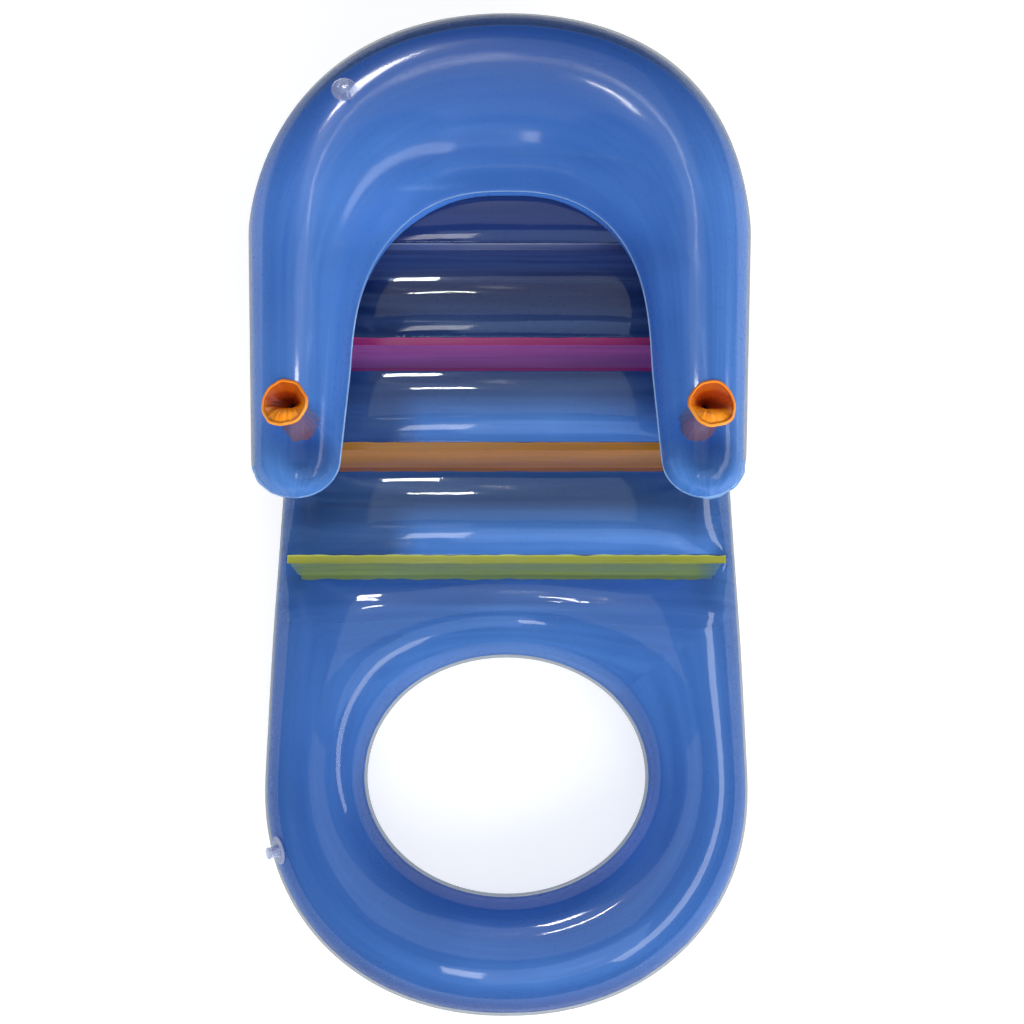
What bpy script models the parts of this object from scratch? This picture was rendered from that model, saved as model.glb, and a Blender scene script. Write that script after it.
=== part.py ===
"""Inflatable pool lounger: a lower body with transverse air tubes and an oval foot opening, and a U-shaped
backrest with two armrests that lies on it.

Metres. X runs across, Y from the feet to the head, Z up. Lengths along Y are measured from the foot seam, and
the whole part is then moved so that the origin lies on the floor under the middle of its outline.
"""

import math

import bpy
import numpy as np
from mathutils import Matrix, Vector
from mathutils.bvhtree import BVHTree

# Film and clearances
FILM = 0.0004
GAP = 0.0003
SEAT_CLEARANCE = 0.0010
FLOOR_PRESS = 0.003
AIR_FULLNESS_SHARE = 0.90

# Lower body, seam to seam
BODY_LENGTH = 1.4815
BODY_HALF_WIDTH = 0.3585
RING_HALF_WIDTH = 0.360
FOOT_ROUND = 0.329
HEAD_ROUND = 0.314
BODY_RIM = 0.004

# Oval foot opening
OPENING_CENTRE_Y = 0.3315
OPENING_HALF_LENGTH = 0.1775
OPENING_HALF_WIDTH = 0.215
OPENING_RIM = 0.005

# Partition beams: an upright web between two flanges, placed from the foot opening's end to the head seam
BEAM_PLACE_SHARES = (0.1414, 0.3337, 0.5249, 0.7090, 0.8992)
BEAM_HEIGHT = 0.100
BEAM_FLANGE = 0.014
BEAM_END_GAP = 0.020

# Backrest and armrests, seam to seam
SIDE_OVERHANG = 0.040
HEAD_OVERHANG = 0.0415
BACKREST_LENGTH = 0.809
OUTER_ARCH_LENGTH = 0.354
INNER_ARCH_LENGTH = 0.350
HEADREST_WIDTH = 0.2550
ARMREST_ROOT_WIDTH = 0.166
ARMREST_END_WIDTH = 0.123
ARMREST_END_INSET = 0.035
ARMREST_ROUND = 0.056
ARMREST_SEAM_RISE = 0.052
ARMREST_SWAY = -0.0113
ARMREST_INNER_SWAY = -0.0079
OUTER_SEAM_RISE = 0.055
INNER_SEAM_DROP = 0.040
BACKREST_RIM = 0.005
HEADREST_RIM = 0.018
INNER_RIM = 0.002

# Drink pockets
POCKET_MOUTH_RADIUS = 0.034
POCKET_FLOOR_RADIUS = 0.028
POCKET_RIM = 0.003
POCKET_DEPTH = 0.080
POCKET_LEAN = 0.010
POCKET_PLEAT = 0.0022
POCKET_PLEAT_COUNT = 10
POCKET_FROM_ARM_END = 0.124
POCKET_OFFSET = 0.0105

# Filling valves
VALVE_FLANGE_RADIUS = 0.020
VALVE_FLANGE_THICKNESS = 0.0010
VALVE_NECK_RADIUS = 0.0085
VALVE_TOP_RADIUS = 0.0075
VALVE_NECK_HEIGHT = 0.013
VALVE_BORE_RADIUS = 0.0045
VALVE_SKIRT_RADIUS = 0.0060
VALVE_SKIRT_DEPTH = 0.006
STOPPER_CAP_RADIUS = 0.0085
STOPPER_CAP_THICKNESS = 0.0025
STOPPER_LENGTH = 0.009
STOPPER_TIP_RADIUS = 0.0036
TETHER_WIDTH = 0.004
TETHER_THICKNESS = 0.0012
TETHER_REACH = 0.007
FLAP_THICKNESS = 0.0006
SHARP_ANGLE = math.radians(40)
BODY_VALVE_Y = 0.215
BODY_VALVE_ELEVATION = math.radians(32)
BACKREST_VALVE_ARCH_ANGLE = math.radians(44.5)
BACKREST_VALVE_ACROSS_SHARE = 0.73
BACKREST_VALVE_ELEVATION = math.radians(97)

# Shapes of outlines and sections: exponents and shares of what they follow
FOOT_POWER = 2.13
OUTER_ARCH_POWER = 2.03
INNER_ARCH_POWER = 2.60
ARM_FULLNESS_SHARE = 0.95
HEAD_FULLNESS_SHARE = 0.80
DROOP_START_SHARE = 0.80
COLUMN_BUNCHING = 1.35

# Counts
BEAM_COLUMN_COUNT = 6
EDGE_COLUMN_COUNT = 2
TUBE_ROW_COUNT = 5
JUNCTION_ROW_COUNT = 2
HEAD_ROW_COUNT = 4
RING_STEP_COUNT = 5
RING_SIDE_STEP_COUNT = 2
RING_FOOT_STEP_COUNT = 20
ARM_END_STEP_COUNT = 4
ARM_SIDE_STEP_COUNT = 5
ARCH_STEP_COUNT = 9
SECTION_STEP_COUNT = 8
POCKET_RING_COUNT = 4
HOLE_SIDE_COUNT = 48
TURNED_STEP_COUNT = 20
EDGE_SAMPLE_COUNT = 24

BLUE = (0.05, 0.17, 0.62)
ORANGE = (0.90, 0.23, 0.01)
CLEAR = (0.62, 0.66, 0.78)
BEAM_COLOURS = {
    "yellow_film": (0.62, 0.55, 0.03),
    "amber_film": (0.45, 0.16, 0.02),
    "magenta_film": (0.42, 0.02, 0.22),
    "beam_blue_film": (0.04, 0.13, 0.45),
}
BEAM_FILMS = {
    "yellow": "yellow_film",
    "orange": "amber_film",
    "magenta": "magenta_film",
    "blue": "beam_blue_film",
    "head": "beam_blue_film",
}

OPENING_END_Y = OPENING_CENTRE_Y + OPENING_HALF_LENGTH
BEAM_PLACES = [OPENING_END_Y + (BODY_LENGTH - OPENING_END_Y) * share for share in BEAM_PLACE_SHARES]
JUNCTION_Y = (OPENING_END_Y + BEAM_PLACES[0] - BEAM_FLANGE / 2) / 2
OUTER_HALF_WIDTH = BODY_HALF_WIDTH + SIDE_OVERHANG
HEADREST_Y = BODY_LENGTH + HEAD_OVERHANG
ARM_TIP_Y = HEADREST_Y - BACKREST_LENGTH
MIDDLE_Y = (HEADREST_Y + HEADREST_RIM - BODY_RIM) / 2
SEAM_OFFSET = (FILM + GAP) / 2


def clear_scene():
    for thing in list(bpy.data.objects):
        bpy.data.objects.remove(thing, do_unlink=True)


def new_collection(name):
    collection = bpy.data.collections.new(name)
    bpy.context.scene.collection.children.link(collection)
    return collection


def material(name, colour, roughness=0.2, alpha=1.0):
    made = bpy.data.materials.new(name)
    made.use_nodes = True
    shader = made.node_tree.nodes["Principled BSDF"]
    shader.inputs["Base Color"].default_value = (*colour, 1.0)
    shader.inputs["Roughness"].default_value = roughness
    shader.inputs["Metallic"].default_value = 0.0
    shader.inputs["Alpha"].default_value = alpha
    return made


def smooth(share):
    share = min(1.0, max(0.0, share))
    return share * share * (3 - 2 * share)


def blend(low, high, share):
    return low + (high - low) * share


def mesh_object(name, points, faces, collection, look):
    mesh = bpy.data.meshes.new(name)
    mesh.from_pydata([tuple(p) for p in points], [], faces)
    mesh.shade_smooth()
    thing = bpy.data.objects.new(name, mesh)
    thing.data.materials.append(look)
    collection.objects.link(thing)
    return thing


def solidify(thing, thickness=FILM, offset=0.0):
    film = thing.modifiers.new("film", "SOLIDIFY")
    film.thickness = thickness
    film.offset = offset


def cut(thing, cutter):
    opening = thing.modifiers.new("opening", "BOOLEAN")
    opening.operation = "DIFFERENCE"
    opening.solver = "EXACT"
    opening.object = cutter


def triangles_of(points, faces):
    """Each four-sided face split along its shorter diagonal."""
    split = []
    for face in faces:
        if len(face) == 3:
            split.append(face)
            continue
        a, b, c, d = face
        if math.dist(points[a], points[c]) < math.dist(points[b], points[d]):
            split += [(a, b, c), (a, c, d)]
        else:
            split += [(a, b, d), (b, c, d)]
    return split


def tree_of(points, faces):
    return BVHTree.FromPolygons([Vector(p) for p in points], faces)


# Lower body


def body_half_width(y):
    """Half the seam-to-seam width of the lower body at y."""
    if y < FOOT_ROUND:
        return RING_HALF_WIDTH * max(0.0, 1 - (1 - y / FOOT_ROUND) ** FOOT_POWER) ** (1 / FOOT_POWER)
    head_start = BODY_LENGTH - HEAD_ROUND
    if y > head_start:
        return BODY_HALF_WIDTH * math.sqrt(max(0.0, 1 - ((y - head_start) / HEAD_ROUND) ** 2))
    along = (y - FOOT_ROUND) / (BEAM_PLACES[0] - FOOT_ROUND)
    return blend(RING_HALF_WIDTH, BODY_HALF_WIDTH, min(1.0, along))


def column_shares():
    """Where the columns lie across the body: -1 and 1 are the side seams. The beams end on a column."""
    beam_share = 1 - BEAM_END_GAP / BODY_HALF_WIDTH
    half = BEAM_COLUMN_COUNT // 2
    reach = beam_share / math.sin(COLUMN_BUNCHING)
    inner = [reach * math.sin(COLUMN_BUNCHING * k / half) for k in range(1, half + 1)]
    steps = range(1, EDGE_COLUMN_COUNT + 1)
    outer = [blend(beam_share, 1.0, math.sin(math.pi / 2 * k / EDGE_COLUMN_COUNT)) for k in steps]
    right = inner + outer
    return [-share for share in reversed(right)] + [0.0] + right


def body_rows():
    """The rows' places along Y, and which of them are the edges of a beam's flange."""
    rows = [JUNCTION_Y]
    held = []
    counts = [JUNCTION_ROW_COUNT] + [TUBE_ROW_COUNT] * (len(BEAM_PLACES) - 1)
    for place, count in zip(BEAM_PLACES, counts):
        low, high = place - BEAM_FLANGE / 2, place + BEAM_FLANGE / 2
        start = rows[-1]
        rows += [blend(start, low, k / count) for k in range(1, count + 1)]
        held += [len(rows) - 1, len(rows)]
        rows.append(high)
    start = rows[-1]
    head = [math.sin(math.pi / 2 * k / HEAD_ROW_COUNT) for k in range(1, HEAD_ROW_COUNT + 1)]
    rows += [blend(start, BODY_LENGTH, share) for share in head]
    return rows, held


def body_plan():
    """The lower body's mesh in plan: its points, faces, seam points, flange points and two edge loops."""
    shares = column_shares()
    rows, flange_rows = body_rows()
    columns = len(shares)
    points, faces, seam, flange = [], [], set(), set()
    for i, y in enumerate(rows[:-1]):
        for j, share in enumerate(shares):
            points.append((share * body_half_width(y), y))
            if j in (0, columns - 1):
                seam.add(len(points) - 1)
            elif i in flange_rows and EDGE_COLUMN_COUNT <= j < columns - EDGE_COLUMN_COUNT:
                flange.add(len(points) - 1)
    apex = len(points)
    points.append((0.0, BODY_LENGTH))
    seam.add(apex)
    last = len(rows) - 2
    for i in range(last):
        for j in range(columns - 1):
            a = i * columns + j
            faces.append((a, a + 1, a + columns + 1, a + columns))
    for j in range(columns - 1):
        faces.append((last * columns + j, last * columns + j + 1, apex))
    head_loop = [i * columns + columns - 1 for i in range(last + 1)] + [apex]
    head_loop += [i * columns for i in range(last, -1, -1)]

    sides = np.linspace(JUNCTION_Y, FOOT_ROUND, RING_SIDE_STEP_COUNT + 1)[1:]
    rim = [(body_half_width(y), y) for y in sides]
    quarter = RING_FOOT_STEP_COUNT // 2
    for k in range(1, quarter + 1):
        x, reach = arch_point(RING_HALF_WIDTH, 0.0, FOOT_ROUND, FOOT_POWER, math.pi / 2 * k / quarter)
        rim.append((x, FOOT_ROUND - reach))
    rim += [(-x, y) for x, y in reversed(rim[:-1])]
    foot_loop = list(range(len(points), len(points) + len(rim)))
    points += rim
    seam |= set(foot_loop)
    outer = [columns - 1] + foot_loop + list(range(columns - 1))
    rings = [outer]
    for k in range(RING_STEP_COUNT - 1, -1, -1):
        across = (1 - math.cos(math.pi * k / RING_STEP_COUNT)) / 2
        ring = list(range(len(points), len(points) + len(outer)))
        for index in outer:
            x, y = points[index]
            angle = math.atan2((y - OPENING_CENTRE_Y) / OPENING_HALF_LENGTH, x / OPENING_HALF_WIDTH)
            near_x = OPENING_HALF_WIDTH * math.cos(angle)
            near_y = OPENING_CENTRE_Y + OPENING_HALF_LENGTH * math.sin(angle)
            points.append((blend(near_x, x, across), blend(near_y, y, across)))
        rings.append(ring)
    for ring, inner in zip(rings, rings[1:]):
        for k in range(len(ring)):
            nxt = (k + 1) % len(ring)
            faces.append((ring[k], inner[k], inner[nxt], ring[nxt]))
    seam |= set(rings[-1])
    outline = foot_loop[::-1] + head_loop
    return np.array(points), faces, seam, flange, outline, rings[-1]


def air_heights(points, faces, seam, flange=(), flange_height=0.0):
    """How far air pressure lifts the film over the seam plane. Half the height squared has the same curvature
    all over, is nil along the seams and is set by the web along a beam: a long tube gets a round section."""
    points = np.array(points)
    count = len(points)
    stiffness = np.zeros((count, count))
    load = np.zeros(count)
    for face in faces:
        for k in range(1, len(face) - 1):
            corners = (face[0], face[k], face[k + 1])
            p = points[list(corners)]
            area = abs((p[1] - p[0])[0] * (p[2] - p[0])[1] - (p[1] - p[0])[1] * (p[2] - p[0])[0]) / 2
            sides = np.array([p[2] - p[1], p[0] - p[2], p[1] - p[0]])
            stiffness[np.ix_(corners, corners)] += sides @ sides.T / (4 * area)
            load[list(corners)] += area / 3
    known = np.zeros(count)
    known[list(flange)] = flange_height**2 / 2
    free = np.array([k for k in range(count) if k not in seam and k not in flange])
    right = load[free] - stiffness[free] @ known
    known[free] = np.linalg.solve(stiffness[np.ix_(free, free)], right)
    return np.sqrt(2 * np.maximum(known, 0.0))


def rim_steps(points, loop, width):
    """Outward steps in plan from a loop whose outer side is on its right."""
    steps = []
    for k, index in enumerate(loop):
        back = points[loop[k - 1]]
        ahead = points[loop[(k + 1) % len(loop)]]
        across = Vector((ahead[1] - back[1], back[0] - ahead[0])).normalized()
        steps.append((across.x * width, across.y * width))
    return steps


def rim_faces(loop, start):
    """Faces from a loop to the rim points that begin at start."""
    count = len(loop)
    return [
        (loop[(k + 1) % count], loop[k], start + k, start + (k + 1) % count) for k in range(count)
    ]


def body_sheets():
    """Points and faces of the lower body's top and bottom film, and how high the tubes' seam plane lies."""
    points, faces, seam, flange, outline, opening = body_plan()
    web_half = BEAM_HEIGHT / 2 / AIR_FULLNESS_SHARE
    heights = AIR_FULLNESS_SHARE * air_heights(points, faces, seam, flange, web_half)
    for loop, width in ((outline, BODY_RIM), (opening, OPENING_RIM)):
        start = len(points)
        steps = rim_steps(points, loop, width)
        points = np.vstack([points, points[loop] + np.array(steps)])
        heights = np.concatenate([heights, np.zeros(len(loop))])
        faces = faces + rim_faces(loop, start)
    droop_end = JUNCTION_Y
    droop_start = OPENING_CENTRE_Y * DROOP_START_SHARE
    tube_seam = heights[points[:, 1] > JUNCTION_Y].max() - FLOOR_PRESS
    ring_seam = heights[points[:, 1] < droop_start].max() - FLOOR_PRESS
    along = [smooth((y - droop_start) / (droop_end - droop_start)) for y in points[:, 1]]
    seam_z = blend(ring_seam, tube_seam, np.array(along))
    top = np.column_stack([points, seam_z + SEAM_OFFSET + heights])
    bottom = np.column_stack([points, np.maximum(seam_z - SEAM_OFFSET - heights, FILM / 2)])
    return top, bottom, triangles_of(top, faces), tube_seam


def beam(name, place, seam_z, collection, look):
    """An upright web with a flange along each edge, just inside the two films."""
    beam_share = 1 - BEAM_END_GAP / BODY_HALF_WIDTH
    narrowest = min(body_half_width(place - BEAM_FLANGE / 2), body_half_width(place + BEAM_FLANGE / 2))
    half_length = narrowest * beam_share
    half_flange = BEAM_FLANGE / 2 - GAP
    top = BEAM_HEIGHT / 2 + SEAM_OFFSET - FILM / 2 - GAP
    profile = [
        (-half_flange, -top),
        (half_flange, -top),
        (half_flange, FILM - top),
        (FILM / 2, FILM - top),
        (FILM / 2, top - FILM),
        (half_flange, top - FILM),
        (half_flange, top),
        (-half_flange, top),
        (-half_flange, top - FILM),
        (-FILM / 2, top - FILM),
        (-FILM / 2, FILM - top),
        (-half_flange, FILM - top),
    ]
    curve = bpy.data.curves.new(name, "CURVE")
    curve.dimensions = "2D"
    curve.fill_mode = "BOTH"
    curve.extrude = half_length
    spline = curve.splines.new("POLY")
    spline.points.add(len(profile) - 1)
    for point, (across, up) in zip(spline.points, profile):
        point.co = (across, up, 0.0, 1.0)
    spline.use_cyclic_u = True
    thing = bpy.data.objects.new(name, curve)
    thing.data.materials.append(look)
    thing.matrix_world = Matrix.Translation((0.0, place, seam_z)) @ Matrix(
        ((0, 0, 1, 0), (1, 0, 0, 0), (0, 1, 0, 0), (0, 0, 0, 1))
    )
    collection.objects.link(thing)
    return thing


# Backrest


def arch_point(half_width, start_y, length, power, angle):
    """A point of a superelliptical arch, from its side at angle 0 to its crown at a right angle."""
    x = half_width * max(0.0, math.cos(angle)) ** (2 / power)
    return x, start_y + length * max(0.0, math.sin(angle)) ** (2 / power)


def half_stations():
    """Stations from the right arm to the crown: outer seam point, inner seam point, share of the arch."""
    end_y = ARM_TIP_Y + ARMREST_ROUND
    outer_end_x = OUTER_HALF_WIDTH - ARMREST_END_INSET
    inner_end_x = outer_end_x - ARMREST_END_WIDTH
    tip_x = (outer_end_x + inner_end_x) / 2
    outer_arch_y = HEADREST_Y - OUTER_ARCH_LENGTH
    inner_arch_y = HEADREST_Y - HEADREST_WIDTH - INNER_ARCH_LENGTH
    inner_half_width = OUTER_HALF_WIDTH - ARMREST_ROOT_WIDTH
    stations = []
    for k in range(ARM_END_STEP_COUNT + 1):
        angle = math.pi / 2 * k / ARM_END_STEP_COUNT
        y = end_y - ARMREST_ROUND * math.cos(angle)
        outer = (blend(tip_x, outer_end_x, math.sin(angle)), y)
        inner = (blend(tip_x, inner_end_x, math.sin(angle)), y)
        stations.append((outer, inner, 0.0))
    for k in range(1, ARM_SIDE_STEP_COUNT + 1):
        share = k / ARM_SIDE_STEP_COUNT
        outer = (blend(outer_end_x, OUTER_HALF_WIDTH, share), blend(end_y, outer_arch_y, share))
        inner = (blend(inner_end_x, inner_half_width, share), blend(end_y, inner_arch_y, share))
        stations.append((outer, inner, 0.0))
    for k in range(1, ARCH_STEP_COUNT + 1):
        angle = math.pi / 2 * k / ARCH_STEP_COUNT
        outer = arch_point(OUTER_HALF_WIDTH, outer_arch_y, OUTER_ARCH_LENGTH, OUTER_ARCH_POWER, angle)
        inner = arch_point(inner_half_width, inner_arch_y, INNER_ARCH_LENGTH, INNER_ARCH_POWER, angle)
        stations.append((outer, inner, smooth(math.sin(angle))))
    return stations


def backrest_sheets(body_top, body_faces, crest_z):
    """Points and faces of the backrest's top and bottom film, lowered onto the lower body."""
    half = half_stations()
    whole = half + [((-o[0], o[1]), (-i[0], i[1]), g) for o, i, g in reversed(half[:-1])]
    seam_z = crest_z + ARMREST_SEAM_RISE
    points, fullness, faces, slopes, widths, rows = [], [], [], [], [], []
    for outer, inner, arch in whole:
        outer_z = seam_z + OUTER_SEAM_RISE * arch
        inner_z = seam_z - INNER_SEAM_DROP * arch
        width = math.dist(outer, inner)
        pole = width < FILM
        row = []
        for j in range(1 if pole else SECTION_STEP_COUNT + 1):
            share = (1 - math.cos(math.pi * j / SECTION_STEP_COUNT)) / 2
            x, y = blend(inner[0], outer[0], share), blend(inner[1], outer[1], share)
            sway = blend(ARMREST_INNER_SWAY, ARMREST_SWAY, share) * (1 - arch)
            points.append((x + sway, y, blend(inner_z, outer_z, share)))
            fullness.append(blend(ARM_FULLNESS_SHARE, HEAD_FULLNESS_SHARE, arch))
            row.append(len(points) - 1)
        rows.append(row)
        slopes.append((outer_z - inner_z) / width if not pole else 0.0)
        widths.append(blend(BACKREST_RIM, HEADREST_RIM, arch))
    for low, high in zip(rows, rows[1:]):
        for j in range(SECTION_STEP_COUNT):
            if len(low) == 1:
                faces.append((low[0], high[j + 1], high[j]))
            elif len(high) == 1:
                faces.append((low[j], low[j + 1], high[0]))
            else:
                faces.append((low[j], low[j + 1], high[j + 1], high[j]))
    plan = [p[:2] for p in points]
    outer_loop = [row[-1] for row in rows]
    inner_loop = [row[0] for row in rows[-2:0:-1]]
    loop = outer_loop + inner_loop
    lifts = np.array(fullness) * air_heights(plan, faces, set(loop))
    lifts = np.concatenate([lifts, np.zeros(len(loop))])
    steps = rim_steps(plan, loop, 1.0)
    start = len(points)
    for k, index in enumerate(loop):
        on_outer = k < len(outer_loop)
        width = widths[k] if on_outer else INNER_RIM
        slope = slopes[k] if on_outer else 0.0
        x, y, z = points[index]
        points.append((x + steps[k][0] * width, y + steps[k][1] * width, z + slope * width))
    faces += rim_faces(loop, start)
    points = np.array(points)
    top = points + np.outer(SEAM_OFFSET + lifts, (0, 0, 1))
    bottom = points - np.outer(SEAM_OFFSET + lifts, (0, 0, 1))
    faces = triangles_of(top, faces)
    body_tree = tree_of(body_top, body_faces)
    for point in bottom:
        found = body_tree.ray_cast(Vector((point[0], point[1], seam_z)), Vector((0, 0, -1)))[0]
        if found:
            point[2] = max(point[2], found.z + FILM + GAP)
    lift = lift_to_clear(body_top, body_faces, bottom, faces, seam_z)
    top[:, 2] += lift
    bottom[:, 2] += lift
    return top, bottom, faces


def edge_points(points, faces):
    """Points along every edge of a mesh."""
    edges = {tuple(sorted((face[k - 1], face[k]))) for face in faces for k in range(len(face))}
    shares = np.linspace(0, 1, EDGE_SAMPLE_COUNT)
    return [Vector(blend(points[a], points[b], share)) for a, b in sorted(edges) for share in shares]


def lift_to_clear(lower, lower_faces, upper, upper_faces, far):
    """How far the upper film has to rise to lie just clear of the lower one."""
    lower_tree = tree_of(lower, lower_faces)
    upper_tree = tree_of(upper, upper_faces)
    deepest = -far
    for point in edge_points(upper, upper_faces):
        found = lower_tree.ray_cast(Vector((point.x, point.y, 2 * far)), Vector((0, 0, -1)))[0]
        if found:
            deepest = max(deepest, found.z - point.z)
    for point in edge_points(lower, lower_faces):
        found = upper_tree.ray_cast(Vector((point.x, point.y, -far)), Vector((0, 0, 1)))[0]
        if found:
            deepest = max(deepest, point.z - found.z)
    return deepest + SEAT_CLEARANCE


# Drink pockets


def pocket(side, x, y, lean, tree, far, collection, cutters, look):
    """A pleated sleeve with a flat rim in the armrest's top film, and its round floor. Returns the rim's
    cutter. The sleeve leans towards the middle, so its floor lies aside of its mouth."""
    top_z = surface_z(tree, x, y, far)
    floor_z = top_z - POCKET_DEPTH
    sides = 2 * POCKET_PLEAT_COUNT
    rings = [(POCKET_MOUTH_RADIUS + POCKET_RIM, 0.0, 0.0)]
    for k in range(POCKET_RING_COUNT + 1):
        down = k / POCKET_RING_COUNT
        radius = blend(POCKET_MOUTH_RADIUS, POCKET_FLOOR_RADIUS, down)
        rings.append((radius, down, POCKET_PLEAT * math.sqrt(down)))
    points = []
    for radius, down, pleat in rings:
        for k in range(sides):
            angle = 2 * math.pi * k / sides
            reach = radius - pleat * (k % 2)
            px, py = x + reach * math.cos(angle), y + reach * math.sin(angle)
            mouth_z = surface_z(tree, px, py, far)
            points.append((px + lean * down, py, blend(mouth_z, floor_z, down)))
    faces = []
    for ring in range(len(rings) - 1):
        for k in range(sides):
            nxt = (k + 1) % sides
            a, b = ring * sides + k, ring * sides + nxt
            faces.append((a, b, b + sides, a + sides))
    sleeve = mesh_object(f"pocket_sleeve_{side}", points, faces, collection, look)
    solidify(sleeve)
    floor_radius = (POCKET_FLOOR_RADIUS - POCKET_PLEAT) * math.cos(math.pi / sides) - FILM / 2 - GAP
    bpy.ops.mesh.primitive_cylinder_add(
        vertices=sides, radius=floor_radius, depth=FILM, location=(x + lean, y, floor_z + FILM / 2)
    )
    floor = bpy.context.object
    floor.name = f"pocket_floor_{side}"
    adopt(floor, collection, look)
    bpy.ops.mesh.primitive_cylinder_add(
        vertices=HOLE_SIDE_COUNT,
        radius=POCKET_MOUTH_RADIUS + POCKET_RIM + 2 * GAP,
        depth=POCKET_DEPTH,
        location=(x, y, top_z),
    )
    return adopt_cutter(bpy.context.object, f"pocket_cutter_{side}", cutters)


def surface_z(tree, x, y, far):
    return tree.ray_cast(Vector((x, y, far)), Vector((0, 0, -1)))[0].z


def adopt(thing, collection, look):
    for old in list(thing.users_collection):
        old.objects.unlink(thing)
    collection.objects.link(thing)
    thing.data.name = thing.name
    thing.data.materials.clear()
    thing.data.materials.append(look)
    thing.data.shade_smooth()
    thing.data.set_sharp_from_angle(angle=SHARP_ANGLE)


def adopt_cutter(thing, name, cutters):
    for old in list(thing.users_collection):
        old.objects.unlink(thing)
    cutters.objects.link(thing)
    thing.name = name
    thing.hide_render = True
    thing.display_type = "WIRE"
    return thing


# Filling valves


def turned(name, profile, closed, frame, collection, look):
    """A profile of (radius, height) points, turned about the valve's axis."""
    mesh = bpy.data.meshes.new(name)
    count = len(profile)
    edges = [(k, k + 1) for k in range(count - 1)] + ([(count - 1, 0)] if closed else [])
    mesh.from_pydata([(radius, 0.0, height) for radius, height in profile], edges, [])
    thing = bpy.data.objects.new(name, mesh)
    thing.matrix_world = frame
    thing.data.materials.append(look)
    screw = thing.modifiers.new("turn", "SCREW")
    screw.steps = TURNED_STEP_COUNT
    screw.render_steps = TURNED_STEP_COUNT
    screw.use_merge_vertices = True
    screw.merge_threshold = FILM / 10
    screw.use_smooth_shade = True
    collection.objects.link(thing)
    return thing


def valve_frame(points, faces, start, azimuth, elevation):
    """The valve's own frame: its axis is +Z and points out of the film, and its flange lies on the film."""
    tree = tree_of(points, faces)
    flat = Vector((math.cos(azimuth), math.sin(azimuth), 0.0))
    axis = flat * math.cos(elevation) + Vector((0, 0, 1)) * math.sin(elevation)
    side = flat * -math.sin(elevation) + Vector((0, 0, 1)) * math.cos(elevation)
    across = axis.cross(side)
    place = tree.ray_cast(start, axis)[0]
    outside = place + axis * VALVE_FLANGE_RADIUS
    highest = 0.0
    for ring in range(1, SECTION_STEP_COUNT + 1):
        reach = VALVE_FLANGE_RADIUS * ring / SECTION_STEP_COUNT
        for k in range(TURNED_STEP_COUNT):
            angle = 2 * math.pi * k / TURNED_STEP_COUNT
            aim = outside + side * (reach * math.cos(angle)) + across * (reach * math.sin(angle))
            found = tree.ray_cast(aim, -axis)[0]
            if found:
                highest = max(highest, (found - place).dot(axis))
    seat = place + axis * (highest + FILM / 2 + GAP)
    turn = Matrix((side, across, axis)).transposed().to_4x4()
    return Matrix.Translation(seat) @ turn


def valve(name, frame, sheet, collection, cutters, look):
    """A moulded base with its neck, a stopper in the neck, the stopper's strap, and the check flap inside."""
    neck_top = VALVE_FLANGE_THICKNESS + VALVE_NECK_HEIGHT
    turned(
        f"{name}_valve_base",
        [
            (VALVE_TOP_RADIUS, neck_top),
            (VALVE_NECK_RADIUS, VALVE_FLANGE_THICKNESS),
            (VALVE_FLANGE_RADIUS, VALVE_FLANGE_THICKNESS),
            (VALVE_FLANGE_RADIUS, 0.0),
            (VALVE_SKIRT_RADIUS, 0.0),
            (VALVE_SKIRT_RADIUS, -VALVE_SKIRT_DEPTH),
            (VALVE_BORE_RADIUS, -VALVE_SKIRT_DEPTH),
            (VALVE_BORE_RADIUS, neck_top),
        ],
        True,
        frame,
        collection,
        look,
    )
    cap_z = neck_top + GAP
    plug_radius = VALVE_BORE_RADIUS - GAP
    turned(
        f"{name}_valve_stopper",
        [
            (0.0, cap_z + STOPPER_CAP_THICKNESS),
            (STOPPER_CAP_RADIUS, cap_z + STOPPER_CAP_THICKNESS),
            (STOPPER_CAP_RADIUS, cap_z),
            (plug_radius, cap_z),
            (STOPPER_TIP_RADIUS, cap_z - STOPPER_LENGTH),
            (0.0, cap_z - STOPPER_LENGTH),
        ],
        False,
        frame,
        collection,
        look,
    )
    tether(f"{name}_valve_tether", cap_z, frame, collection, look)
    flap_radius = VALVE_SKIRT_RADIUS - GAP
    hinge_z = -VALVE_SKIRT_DEPTH - GAP
    hinge = frame @ Matrix.Translation((-flap_radius, 0.0, hinge_z))
    bpy.ops.mesh.primitive_cylinder_add(vertices=TURNED_STEP_COUNT, radius=flap_radius, depth=FLAP_THICKNESS)
    flap = bpy.context.object
    flap.name = f"{name}_valve_flap"
    flap.data.transform(Matrix.Translation((flap_radius, 0.0, -FLAP_THICKNESS / 2)))
    adopt(flap, collection, look)
    flap.matrix_world = hinge
    bpy.ops.mesh.primitive_cylinder_add(
        vertices=TURNED_STEP_COUNT,
        radius=(VALVE_SKIRT_RADIUS + GAP) / math.cos(math.pi / TURNED_STEP_COUNT),
        depth=VALVE_FLANGE_RADIUS,
    )
    cutter = adopt_cutter(bpy.context.object, f"{name}_valve_cutter", cutters)
    cutter.matrix_world = frame
    cut(sheet, cutter)


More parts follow.
